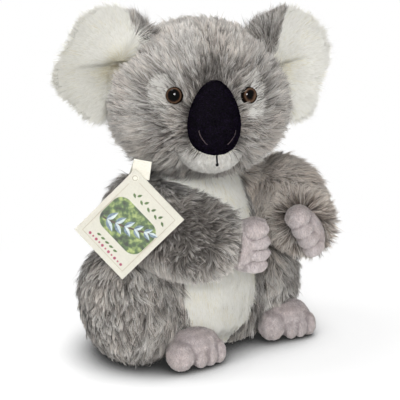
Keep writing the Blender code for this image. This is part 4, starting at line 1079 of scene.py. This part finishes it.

# %% [markdown]
# The ears are white in front and grey behind, and the grey rolls over the rim at the top. Under the
# fold the white is painted creamier and darker, as painted shade. Near the head the white is brushed out
# over it.

# %% Ears
GREY_FROM = {"right": 1.00, "left": 0.69}        # where the grey of the back rolls over the front
GREY_SLOPE = {"right": 0.90, "left": 0.78}
OVER_HEAD = {"right": 1.0, "left": 0.3}          # how far the white pile is brushed over the head
# painted shade: how much darker the lower part of each ear's front is painted, below the fold
LOWER_EAR_SHADE = {"right": 0.26, "left": -0.02}       # how much darker the lower part of the front is
EAR_TONE = {"right": 0.58, "left": 0.86}
for word, side in SIDES.items():
    place, (level, slope) = EAR_PLACES[word], FOLD_LEVEL[word]
    roots, normals = bare_roots("ear_coat_" + word, 5.6, 61, "head_coat")
    spots, facing, across, up = on_ear(word, roots, normals)
    reach = np.hypot(across, up) / ear_rim(word, across, up)
    rolled_over = up - GREY_SLOPE[word] * across
    grey_part = smooth_step(GREY_FROM[word] - 0.06, GREY_FROM[word] + 0.06, rolled_over)
    white = (facing < 0.1 + 0.75 * smooth_step(0.78, 0.94, reach)) & ~scattered(grey_part, 64)
    grey = ~white
    below_fold = level + slope * across - up
    # painted shade: just under the fold, near the head, the white pile is painted darker and creamier
    painted_fold_shade = np.exp(-((below_fold - 0.18) / 0.30) ** 2) * smooth_step(0.45, -0.35, across)
    over = OVER_HEAD[word] * smooth_step(0.010, 0.002, distance_to("head_coat", roots))
    over = over * smooth_step(-0.05, 0.15, up) * (facing < 0.0)
    from_head = spots - np.array([side * -0.006, 0.0, 0.003])
    comb = way_from(place, unit(from_head * np.array([[1.0, 0.3, 1.0]])))
    comb = comb * (1.0 - over[:, None]) + way_from(place, [[-side, -0.3, 0.35]]) * over[:, None]
    length = 4.5 + 3.0 * smooth_step(0.5, 0.95, reach) + 7.5 * over
    # painted light: the front pile is made lighter towards the rim, where its strands turn away from the
    # light
    tone = EAR_TONE[word] + 0.10 * smooth_step(0.1, 0.7, reach) + 0.15 * smooth_step(0.85, 1.0, reach)
    tone = tone - 0.42 * painted_fold_shade - LOWER_EAR_SHADE[word] * smooth_step(0.15, -0.35, up)
    grow_pile("ear_front_pile_" + word, *pick(white, roots, normals, comb), "ear_" + word, "white_plush",
              WHITE_PILE, length[white], pick(white, 66.0 - 26.0 * over, 83.0 - 10.0 * over), tone[white],
              tone_spread=0.05, width_mm=0.27, tuft=6, pull=0.25, swirl=7.0, strays=0.02, soft=0.92,
              warmth=(0.05 + 0.85 * painted_fold_shade)[white], seed=62)
    high_root = smooth_step(-0.1, -0.6, across) * smooth_step(0.3, 0.8, up)
    length = 8.5 - 6.2 * smooth_step(0.60, 0.88, reach) * (1.0 - grey_part) + 4.5 * high_root
    # painted light: the back pile is made lighter towards the rim as well
    tone = 0.60 + 0.30 * smooth_step(0.6, 0.9, reach) - 0.30 * grey_part + 0.14 * waves(roots, 6.0, 17)
    dark_share = 0.34 * grey_part + 0.12 * smooth_step(0.75, 0.45, reach)
    grow_pile("ear_back_pile_" + word, *pick(grey, roots, normals, comb), "ear_" + word, "grey_plush",
              GREY_PILE, length[grey], (54.0, 78.0), tone[grey], dark_share=dark_share[grey], wander=12.0,
              seed=63)

# %% [markdown]
# The muzzle has white pile of under 3 mm, with grey coming in from its sides. The paws are velour and
# the nose is suede, each with a nap of about a millimetre. Shade is painted dark into the nap of the
# creases between the digits, and light onto their raised parts.

# %% Short cloth: muzzle, hands, feet and nose
# Velour: cut short and even, so its colour hardly changes from root to tip.
VELOUR = pile_finish("pinkish grey velour", [(0.0, "#94898a"), (1.0, "#b1a7a7")],
                     [(0.0, "#cdc3c3"), (1.0, "#f1ebea")])
# Suede: split leather with a nap so fine and dark that it reflects almost nothing.
SUEDE_NAP = pile_finish("black suede nap", [(0.0, "#030205"), (1.0, "#07050a")],
                        [(0.0, "#0b0712"), (1.0, "#292036")], sheen=0.0, specular=0.0)
MUZZLE_SPOT = np.array([0.0, -0.052, -0.012])
PAW_TONE = {"hand": 0.38, "foot": 0.31}
# painted shade and painted light: depths at which the nap is painted darkest in a crease and lightest on a
# raised part
CREASE_SHADE_DEPTH, RAISED_LIGHT_DEPTH = 0.16 * MM, -0.12 * MM          # depths at which the nap is darkest and lightest
nose = solid["nose_leather"]
roots, normals = bare_roots("muzzle_coat", 6.0, 71, "nose_leather", "head_coat")
spots = to_frame(HEAD_PLACE, roots)
aside = np.abs(spots[:, 0])
comb = way_from(HEAD_PLACE, unit(spots - MUZZLE_SPOT))
cheek = scattered(smooth_step(-0.0220, -0.0165, spots[:, 2]) + smooth_step(0.0185, 0.0215, aside), 73)
tone = 0.52 + 0.16 * waves(roots, 5.0, 15) - 0.44 * smooth_step(0.011, 0.0205, aside)
grow_pile("muzzle_pile", *pick(~cheek, roots, normals, comb), "head", "white_plush", SHORT_WHITE, 2.8,
          (46.0, 72.0), tone[~cheek], tone_spread=0.08, width_mm=0.30, tuft=5, swirl=24.0, strays=0.0,
          soft=0.8, warmth=0.2, steps=2, clear_of=[nose], seed=72)
grow_pile("muzzle_side_pile", *pick(cheek, roots, normals, comb), "head", "grey_plush", GREY_PILE, 7.0,
          (40.0, 70.0), 0.42, dark_share=0.25, clear_of=[nose], seed=74)
for word in SIDES:
    for paw, limb in PAW_LIMB.items():
        coat = paw + "_coat_" + word
        roots, normals = bare_roots(coat, 9.0, 81, limb + "_coat_" + word, "torso_coat")
        depth = crease_depth[paw + "_" + word][nearest_index(mesh_points(coats[coat].data)[0], roots)]
        tone = PAW_TONE[paw] + 0.10 * waves(roots, 6.0, 13) + 0.12 * waves(roots, 2.0, 18)
        # painted shade in the creases between the digits and painted light on their raised parts
        tone = tone - 1.2 * smooth_step(0.0, CREASE_SHADE_DEPTH, depth) + 0.26 * smooth_step(0.0, RAISED_LIGHT_DEPTH, depth)
        grow_pile(paw + "_nap_" + word, roots, normals, DOWN, limb + "_" + word, "velour", VELOUR, 1.2,
                  (40.0, 66.0), tone, tone_spread=0.06, width_mm=0.30, tuft=6, pull=0.3, swirl=24.0,
                  strays=0.0, soft=0.7, steps=2, seed=82)
roots, normals = bare_roots("nose_leather", 7.0, 91, "head_coat", "muzzle_coat")
grow_pile("nose_nap", roots, normals, DOWN, "head", "suede", SUEDE_NAP, 0.7, (20.0, 50.0),
          0.38 + 0.14 * waves(roots, 7.0, 19), tone_spread=0.22, width_mm=0.30, tuft=6, swirl=70.0,
          strays=0.0, soft=0.7, steps=2, seed=92)

# %% [markdown]
# ## Threads
# The nostrils are two short arcs of thick grey thread, and the mouth is one black stitch with a knot.
# Each is a tube along the points that the needle would follow over the cloth.


# %% Nostril and mouth threads
def thread_finish(name, low, high):
    """Twisted cotton: dull, with dark and light plies."""
    return backing_finish(name, low, high, 0.5, sheen=0.1)


def tube(name, path, radius, around=8):
    """Round tube along points, with rounded ends."""
    path = [Vector(point) for point in path]
    first, last = path[1] - path[0], path[-1] - path[-2]
    stations = [(path[0] - first.normalized() * radius * 0.7, 0.45)] + [(point, 1.0) for point in path]
    stations += [(path[-1] + last.normalized() * radius * 0.7, 0.45)]
    shape = bmesh.new()
    rings = []
    for index, (point, share) in enumerate(stations):
        ahead = stations[min(index + 1, len(stations) - 1)][0] - stations[max(index - 1, 0)][0]
        facing = Vector((0.0, 0.0, 1.0)).rotation_difference(ahead.normalized()).to_matrix()
        rings.append([shape.verts.new(point + facing @ Vector((x, y, 0.0)) * radius * share)
                      for x, y in circle(around)])
    bridge(shape, rings)
    return shaped(name, shape)


def on_nose(across, up):
    """Point of the nose's surface over a place across and up, in the toy's own axes."""
    height = up / NOSE_HALF[2]
    width = math.sqrt(1.0 - height ** 2) * (1.0 - NOSE_TAPER * height)
    side = across / (NOSE_HALF[0] * width)
    return NOSE_PLACE @ Vector((across, -NOSE_HALF[1] * width * math.sqrt(1.0 - side ** 2), up))


def on_muzzle(across, up):
    """Point where a needle going straight in from the front meets the muzzle."""
    start = HEAD_PLACE @ Vector((across, -0.12, up))
    inwards = HEAD_PLACE.to_3x3() @ Vector((0.0, 1.0, 0.0))
    return solid["muzzle_coat"][0].ray_cast(start, inwards)[0] - inwards * 1.1 * MM


NOSTRIL_THREAD = thread_finish("grey cotton thread", "#3b3236", "#5d5152")
MOUTH_THREAD = thread_finish("black cotton thread", "#0b090c", "#1d1a20")
NOSTRIL_RADIUS, STITCH_RADIUS, KNOT_RADIUS = 0.32 * MM, 0.50 * MM, 0.40 * MM
KNOT_TURN, KNOT_OUT = 0.75 * MM, 0.2 * MM
for word, side in SIDES.items():
    path = [on_nose(side * (0.0106 - 0.0046 * share ** 1.8), -0.0058 - 0.0078 * share)
            for share in even_shares(8)]
    show("nostril_thread_" + word, tube("nostril", path, NOSTRIL_RADIUS), NOSTRIL_THREAD, "head")
path = [on_muzzle(0.0004 + 0.0006 * share, -0.0216 - 0.0054 * share) for share in even_shares(6)]
show("mouth_stitch", tube("stitch", path, STITCH_RADIUS), MOUTH_THREAD, "head")
knot = [path[-1] + Vector((KNOT_TURN * x, -KNOT_OUT, KNOT_TURN * z)) for x, z in circle(10)]
show("mouth_knot", tube("knot", knot, KNOT_RADIUS), MOUTH_THREAD, "head")
print("mouth stitch in mm", round((path[-1] - path[0]).length / MM, 1))

# %% [markdown]
# ## Hang tag
# The tag is one coated card folded in two on a satin ribbon, with a nylon tie through its corner.
# Its print is plain: a sprig of pale leaves on a green panel, small rows of leaves, a row of berries
# and a ruled border. Each ink shape lies on the card as a thin flat piece, so its edges stay crisp.

# %% Card leaves
CARD_THICK = 0.45 * MM
CARD_GAP = 0.15 * MM
LEAF_BOW = {"front": 1.6 * MM, "back": 0.5 * MM}
HOLE_AT = (3.8, 3.8)             # millimetres from the card's top corner
HOLE_RADIUS = 1.5


def card_depth(leaf, down):
    """How far a leaf of the card bows out of its plane at a share of the way down its side."""
    if leaf == "front":
        return -CARD_GAP - LEAF_BOW[leaf] * down ** 2
    return CARD_GAP + CARD_THICK - LEAF_BOW[leaf] * down ** 2


def card_point(leaf, along_mm, down_mm, lift_mm):
    depth = card_depth(leaf, down_mm * MM / TAG_SIDE)
    return TAG_PLACE @ Vector((along_mm * MM, depth - lift_mm * MM, -down_mm * MM))


def card_leaf(leaf, columns=20, rows=26):
    """Thin card of even thickness that bows a little out of its plane."""
    shape = bmesh.new()
    width, height = TAG_SPINE / MM, TAG_SIDE / MM
    near, far = ([[shape.verts.new(card_point(leaf, width * across, height * down, lift))
                   for across in even_shares(columns)] for down in even_shares(rows)]
                 for lift in (CARD_THICK / MM, 0.0))
    for y in range(rows):
        for x in range(columns):
            shape.faces.new((near[y][x], near[y + 1][x], near[y + 1][x + 1], near[y][x + 1]))
            shape.faces.new((far[y][x], far[y][x + 1], far[y + 1][x + 1], far[y + 1][x]))
    edge = [(0, x) for x in range(columns + 1)] + [(y, columns) for y in range(1, rows + 1)]
    edge += [(rows, x) for x in range(columns - 1, -1, -1)] + [(y, 0) for y in range(rows - 1, 0, -1)]
    for (y, x), (after_y, after_x) in zip(edge, edge[1:] + edge[:1]):
        shape.faces.new((near[y][x], near[after_y][after_x], far[after_y][after_x], far[y][x]))
    return shaped("card", shape, smooth=False)


# Coated board: smooth and pale with a faint grain, a little glossier than paper.
CARD = backing_finish("coated card", "#cfccc0", "#d6d3c7", 1.2, sheen=0.0, roughness=0.42)
# Brass that has dulled, with no sparkle. Its brownish ring round the hole is partly the eyelet and partly
# painted shade of the hole's rim.
EYELET_AND_RIM_SHADE = backing_finish("dull brass", "#8d8471", "#a59b86", 0.8, sheen=0.0)
back_card = show("tag_card_back", card_leaf("back"), CARD, "tag")
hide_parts("tag_back_leaf")
front_card = show("tag_card_front", card_leaf("front"), CARD, "tag_cover")
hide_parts("tag_front_leaf")
print("card in mm", round(TAG_SPINE / MM, 1), "x", round(TAG_SIDE / MM, 1))

# %% [markdown]
# Everything printed is an outline in millimetres along and down the card. Leaves are drawn in two
# halves, one light and one dark, so that a rib shows between them.

# %% Print of the card
def ink_finish(name, low, middle, high, patch_mm):
    """Offset ink: flat and faintly glossy, with soft blotches of its own greens or browns."""
    stops = [(0.32, low), (0.5, middle), (0.68, high)]
    return mottled(name, stops, patch_mm, 2.0, Roughness=0.40)[0]


PANEL_INK = ink_finish("leaf green ink", "#1c2415", "#466030", "#9fae66", 3.6)
LEAF_INK = {"light": ink_finish("pale blue ink", "#a9b7bb", "#bcc8ca", "#ced6d2", 2.0),
            "dark": ink_finish("slate blue ink", "#4f6272", "#64788a", "#7b8d9a", 2.0)}
STEM_INK = ink_finish("bark brown ink", "#2c1f16", "#453122", "#5e4632", 2.0)
MOSS_INK = ink_finish("moss green ink", "#3c5320", "#486228", "#557032", 2.0)
FINE_INK = ink_finish("stone ink", "#a89c86", "#b3a893", "#beb4a0", 2.0)
BERRY_INK = ink_finish("berry red ink", "#8e2f4c", "#9d3a57", "#a94a63", 3.0)


def print_shapes(name, outlines, material, lift_mm):
    """Flat shapes of one ink on the front of the card. An outline is points along and down it in mm."""
    shape = bmesh.new()
    lift = CARD_THICK / MM + lift_mm
    for outline in outlines:
        centre = shape.verts.new(card_point("front", *np.mean(outline, axis=0), lift))
        corners = [shape.verts.new(card_point("front", *point, lift)) for point in outline]
        for first, second in zip(corners, corners[1:] + corners[:1]):
            shape.faces.new((centre, first, second))
    outwards = TAG_PLACE.to_3x3() @ Vector((0.0, -1.0, 0.0))
    for face in shape.faces:
        face.normal_update()
        if face.normal.dot(outwards) < 0.0:
            face.normal_flip()
    mesh = bpy.data.meshes.new(name)
    shape.to_mesh(mesh)
    shape.free()
    show(name, mesh, material, "tag_cover")


def rounded(centre, half, corner, count=12):
    """Outline of a rounded rectangle."""
    points = []
    for quarter, (x, y) in enumerate(((1, 1), (-1, 1), (-1, -1), (1, -1))):
        for step in range(count + 1):
            angle = math.pi / 2.0 * (quarter + step / count)
            points.append((centre[0] + x * (half[0] - corner) + corner * math.cos(angle),
                           centre[1] + y * (half[1] - corner) + corner * math.sin(angle)))
    return points


def leaf_halves(base, heading, length, width, count=10):
    """Two outlines of a pointed leaf, one on each side of its middle rib."""
    ahead = np.array([math.cos(math.radians(heading)), math.sin(math.radians(heading))])
    aside = np.array([-ahead[1], ahead[0]])
    rib = [np.array(base) + ahead * length * share for share in even_shares(count)]
    halves = []
    for sign in (1.0, -1.0):
        swell = [sign * width * math.sin(math.pi * share ** 0.8) for share in even_shares(count)[1:-1]]
        bulge = [point + aside * out for point, out in zip(rib[1:-1], swell)]
        halves.append([rib[0]] + bulge + [rib[-1]])
    return halves


def strip(points, width):
    """Outlines of short quads along a line."""
    made = []
    for first, second in zip(points, points[1:]):
        ahead = np.subtract(second, first)
        aside = np.array([-ahead[1], ahead[0]]) / np.hypot(*ahead) * width / 2.0
        made.append([first + aside, second + aside, second - aside, first - aside])
    return made


PANEL_CENTRE, PANEL_HALF, PANEL_CORNER = (20.5, 27.0), (16.5, 11.5), 7.0
UNDER_LIFT, STEM_LIFT, SPRIG_LIFT = 0.05, 0.09, 0.12      # millimetres that the inks lie over the card
BORDER = [(7.5, 4.0), (37.5, 4.0), (37.5, 48.5), (3.5, 48.5), (3.5, 8.5)]
print_shapes("print_panel", [rounded(PANEL_CENTRE, PANEL_HALF, PANEL_CORNER)], PANEL_INK, UNDER_LIFT)
stem = [np.array([6.5 + 26.0 * share, 34.0 - 13.0 * share ** 1.3]) for share in even_shares(10)]
print_shapes("print_stem", strip(stem, 1.1), STEM_INK, STEM_LIFT)
halves = {"light": [], "dark": []}
for index, place_on in enumerate((1, 3, 5, 7, 9)):
    for sign in (1.0, -1.0):
        heading = -26.0 + sign * (48.0 - 3.0 * index)
        first, second = leaf_halves(stem[place_on], heading, 8.2 - 0.6 * index, 1.7 - 0.1 * index)
        halves["light"].append(first if sign < 0.0 else second)
        halves["dark"].append(second if sign < 0.0 else first)
first, second = leaf_halves(stem[10], -24.0, 6.0, 1.3)
halves["light"].append(second)
halves["dark"].append(first)
for shade in halves:
    print_shapes("print_leaves_" + shade, halves[shade], LEAF_INK[shade], SPRIG_LIFT)
print_shapes("print_border", strip([np.array(point) for point in BORDER], 0.3), FINE_INK, UNDER_LIFT)
leaf_row = []
for index in range(9):
    leaf_row += leaf_halves((9.5 + 2.9 * index, 10.6), -62.0 if index % 2 else 28.0, 3.3, 0.75)
for index in range(5):
    leaf_row += leaf_halves((11.0 + 3.4 * index, 43.6), -20.0, 3.0, 0.7)
print_shapes("print_leaf_rows", leaf_row, MOSS_INK, UNDER_LIFT)
berries = [[(8.0 + 2.6 * index + radius * x, 46.4 + radius * y) for x, y in circle(12)]
           for index, radius in enumerate((0.9, 0.6) * 5 + (0.9,))]
print_shapes("print_berries", berries, BERRY_INK, UNDER_LIFT)
rim = [(HOLE_AT[0] + HOLE_RADIUS * x, HOLE_AT[1] + HOLE_RADIUS * y) for x, y in circle(24)]
ring = [card_point("front", *point, CARD_THICK / MM + 0.1) for point in rim + rim[:1]]
show("tag_eyelet", tube("eyelet", ring, 0.28 * MM), EYELET_AND_RIM_SHADE, "tag_cover")
print("leaves on the sprig", len(halves["light"]), "berries", len(berries))

# %% [markdown]
# A nylon tie goes through the card and through the loop of a satin ribbon. The ribbon's two layers lie
# flat beside the tie and then bend away over the shoulder pile, down into the seam.

# %% Tie and ribbon
# Nylon: milky and slightly waxy.
NYLON = backing_finish("natural nylon", "#dedcd0", "#e8e6da", 1.0, sheen=0.0)
# Satin: fine threads that lie side by side, which give the cream ribbon its soft sheen.
RIBBON = backing_finish("cream satin ribbon", "#dcd8ca", "#ebe8dc", 0.6, sheen=0.4)
RIBBON_HALF_MM, RIBBON_HALF_THICK = 5.4, 0.13
RIBBON_TILT = math.radians(7.0)
RIBBON_SEAM = Vector((-0.0470, -0.0040, 0.1080))
RIBBON_AT_TIE = (-1.45, 2.6)                   # millimetres out from the tie and aside of it
RIBBON_FLAT, RIBBON_BEND = 9.6, (3.2, -3.0)    # length of the flat part, and how the bend goes on and drops
LAYERS = ((-0.28, 0.0), (0.28, 0.25))          # height of each layer, and how much narrower it is
SECTION = ((-1, -1), (-0.5, -1), (0.5, -1), (1, -1), (1, 1), (0.5, 1), (-0.5, 1), (-1, 1))
WAVE_HEIGHT, WAVE_STEP, AT_FOLD = 0.10, 1.1, 0.35
for node in ("eye_washer_right", "eye_washer_left", "tag_pin"):
    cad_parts[node].data.materials.clear()
    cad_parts[node].data.materials.append(NYLON)


def ribbon_mesh():
    """Satin ribbon folded round the tie: two layers that rise together and bend over into the seam."""
    outward = (TAG_PLACE.to_3x3() @ Vector((0.0, -1.0, 0.0))).normalized()
    pin = TAG_PLACE @ Vector((HOLE_AT[0] * MM, 0.0, -HOLE_AT[1] * MM))
    level = (Vector((0.0, 0.0, 1.0)) - outward * outward.z).normalized()
    aside = level.cross(outward)
    along = -(level * math.cos(RIBBON_TILT) + aside * math.sin(RIBBON_TILT))
    across = outward.cross(along)
    start = pin + outward * RIBBON_AT_TIE[0] * MM + aside * RIBBON_AT_TIE[1] * MM
    path = [start + along * (0.4 - 1.25 * step) * MM for step in range(8)]
    start = start - along * RIBBON_FLAT * MM
    bend = start - along * RIBBON_BEND[0] * MM + outward * RIBBON_BEND[1] * MM
    for share in even_shares(14):
        left = 1.0 - share
        path.append(start * left ** 2 + bend * 2.0 * share * left + RIBBON_SEAM * share ** 2)
    shape = bmesh.new()
    for layer, narrower in LAYERS:
        rings = []
        for index, point in enumerate(path):
            heading = (path[min(index + 1, len(path) - 1)] - path[max(index - 1, 0)]).normalized()
            normal = heading.cross(across)
            wave = WAVE_HEIGHT * math.sin(index * WAVE_STEP + layer)
            height = layer * (AT_FOLD if index == 0 else 1.0)
            half = (RIBBON_HALF_MM - narrower) * MM
            rings.append([shape.verts.new(
                point + across * half * wide
                + normal * (height + RIBBON_HALF_THICK * thick + wave * abs(wide)) * MM)
                for wide, thick in SECTION])
        bridge(shape, rings)
    return shaped("ribbon", shape, smooth=False)


ribbon = show("ribbon_tab", ribbon_mesh(), RIBBON, "arm_right")
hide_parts("label_loop")
print("ribbon", round(2.0 * RIBBON_HALF_MM, 1), "mm wide")

# %% [markdown]
# ## Studio
# The toy sits on pale paper that runs over into an even white surround. A high key lamp stands to its
# right, a wide soft lamp lights the face, a small one adds some edge to the pile, and a last one
# is seen only in the eyes. Shadow is painted into the paper's colour round the toy by how near it is,
# twice over: a wide soft painted shadow and a narrow one where the feet touch.

# %% Floor, lamps and surround
FLOOR_COLOUR, FLOOR_REACH = (0.80, 0.80, 0.80, 1.0), 3.0
PAPER_TO, WHITE_FROM = 0.09, 0.24              # distances from the toy's middle, in metres
WIDE_SHADE, NARROW_SHADE = 0.055, 0.024        # metres
SELF_LIT, PAPER_STRENGTH = 0.66, 1.13
LAMP_AIM = (0.0, 0.0, 0.1)


def floor_finish():
    """Matt pale paper. The camera sees it a little lighter than the toy does, fading into white."""
    made, tree, shader = finish("studio floor", Roughness=0.9, Base_Color=FLOOR_COLOUR,
                                Specular_IOR_Level=0.0)
    seen = add_node(tree, "ShaderNodeLightPath")
    direct = add_node(tree, "ShaderNodeMath", {"operation": "MAXIMUM"},
                      {0: seen.outputs["Is Camera Ray"], 1: seen.outputs["Is Glossy Ray"]})
    place = add_node(tree, "ShaderNodeTexCoord")
    away = add_node(tree, "ShaderNodeVectorMath", {"operation": "LENGTH"}, {0: place.outputs["Object"]})
    far = add_node(tree, "ShaderNodeMapRange", {"interpolation_type": "SMOOTHSTEP"},
                   {"Value": away.outputs["Value"], "From Min": PAPER_TO, "From Max": WHITE_FROM})
    white = add_node(tree, "ShaderNodeMath", {"operation": "MULTIPLY"},
                     {0: far.outputs["Result"], 1: direct.outputs["Value"]})
    # painted shadow: a wide soft one, darker where the toy is near the paper
    nearby = add_node(tree, "ShaderNodeAmbientOcclusion", {"samples": 8}, {"Distance": WIDE_SHADE})
    painted_wide_shadow = add_node(tree, "ShaderNodeValToRGB", sockets={"Fac": nearby.outputs["AO"]},
                       stops=[(0.2, "#404040"), (0.45, "#a0a0a0"), (0.6, "#dedede"), (0.72, "#f6f6f6"),
                              (0.82, "#ffffff")])
    # painted shadow: a narrow dark one where the feet and the seat touch the paper
    close = add_node(tree, "ShaderNodeAmbientOcclusion", {"samples": 8}, {"Distance": NARROW_SHADE})
    painted_contact_shadow = add_node(tree, "ShaderNodeValToRGB", sockets={"Fac": close.outputs["AO"]},
                      stops=[(0.35, "#c0c0c0"), (0.95, "#ffffff")])
    # the two painted shadows together colour both the matt paper and its glow
    both = add_node(tree, "ShaderNodeMix", {"data_type": "RGBA", "blend_type": "MULTIPLY"},
                    {MIX_FACTOR: 1.0, MIX_A: painted_wide_shadow.outputs["Color"], MIX_B: painted_contact_shadow.outputs["Color"]})
    matt = add_node(tree, "ShaderNodeBsdfDiffuse", sockets={"Color": both.outputs[MIX_COLOUR]})
    lit = add_node(tree, "ShaderNodeEmission", sockets={"Color": both.outputs[MIX_COLOUR],
                                                        "Strength": PAPER_STRENGTH})
    paper = add_node(tree, "ShaderNodeMixShader", sockets={0: SELF_LIT, 1: matt.outputs["BSDF"],
                                                           2: lit.outputs["Emission"]})
    near = add_node(tree, "ShaderNodeMixShader", sockets={0: direct.outputs["Value"],
                                                          1: shader.outputs["BSDF"],
                                                          2: paper.outputs["Shader"]})
    glow = add_node(tree, "ShaderNodeEmission", sockets={"Color": (1.0, 1.0, 1.0, 1.0), "Strength": 1.0})
    whole = add_node(tree, "ShaderNodeMixShader", sockets={0: white.outputs["Value"],
                                                           1: near.outputs["Shader"],
                                                           2: glow.outputs["Emission"]})
    tree.links.new(whole.outputs["Shader"], tree.nodes["Material Output"].inputs["Surface"])
    return made


floor_mesh = bpy.data.meshes.new("floor")
floor_corners = [(x * FLOOR_REACH, y * FLOOR_REACH, 0.0) for x, y in ((-1, -1), (1, -1), (1, 1), (-1, 1))]
floor_mesh.from_pydata(floor_corners, [], [(0, 1, 2, 3)])
floor = bpy.data.objects.new("floor", floor_mesh)
floor_mesh.materials.append(floor_finish())
bpy.context.scene.collection.objects.link(floor)


def lamp(name, place, size, watts):
    """Round soft lamp that looks at the toy."""
    light = bpy.data.lights.new(name, "AREA")
    light.shape = "DISK"
    light.size = size
    light.energy = watts
    return aimed(bpy.data.objects.new(name, light), place, LAMP_AIM)


lamp("key lamp", (-0.46, 0.20, 1.12), 0.40, 6.0)
soft_lamp = lamp("face lamp", (-0.15, -1.35, 0.45), 0.9, 7.6)
soft_lamp.visible_glossy = False          # its wide disc would blur the eyes' small highlight
lamp("spark lamp", (-0.58, -0.79, 0.66), 0.17, 4.2).visible_glossy = False
lamp("glint lamp", (-0.58, -0.79, 0.66), 0.34, 46.0).visible_diffuse = False     # seen only in the eyes
world = bpy.data.worlds.new("surround")
bpy.context.scene.world = world
world.use_nodes = True
tree = world.node_tree
seen = add_node(tree, "ShaderNodeLightPath")
clear = add_node(tree, "ShaderNodeMath", {"operation": "MAXIMUM"},
                 {0: seen.outputs["Is Camera Ray"], 1: seen.outputs["Is Transmission Ray"]})
direct = add_node(tree, "ShaderNodeMath", {"operation": "MAXIMUM"},
                  {0: clear.outputs["Value"], 1: seen.outputs["Is Glossy Ray"]})
# the toy is lit by less of the surround than the camera sees
level = add_node(tree, "ShaderNodeMapRange", sockets={"Value": direct.outputs["Value"], "To Min": 0.38,
                                                      "To Max": 1.0})
background = tree.nodes["Background"]
background.inputs["Color"].default_value = (1.0, 1.0, 1.0, 1.0)
tree.links.new(level.outputs["Result"], background.inputs["Strength"])
bpy.context.scene.view_settings.view_transform = "Standard"
print("lamps", len(bpy.data.lights))
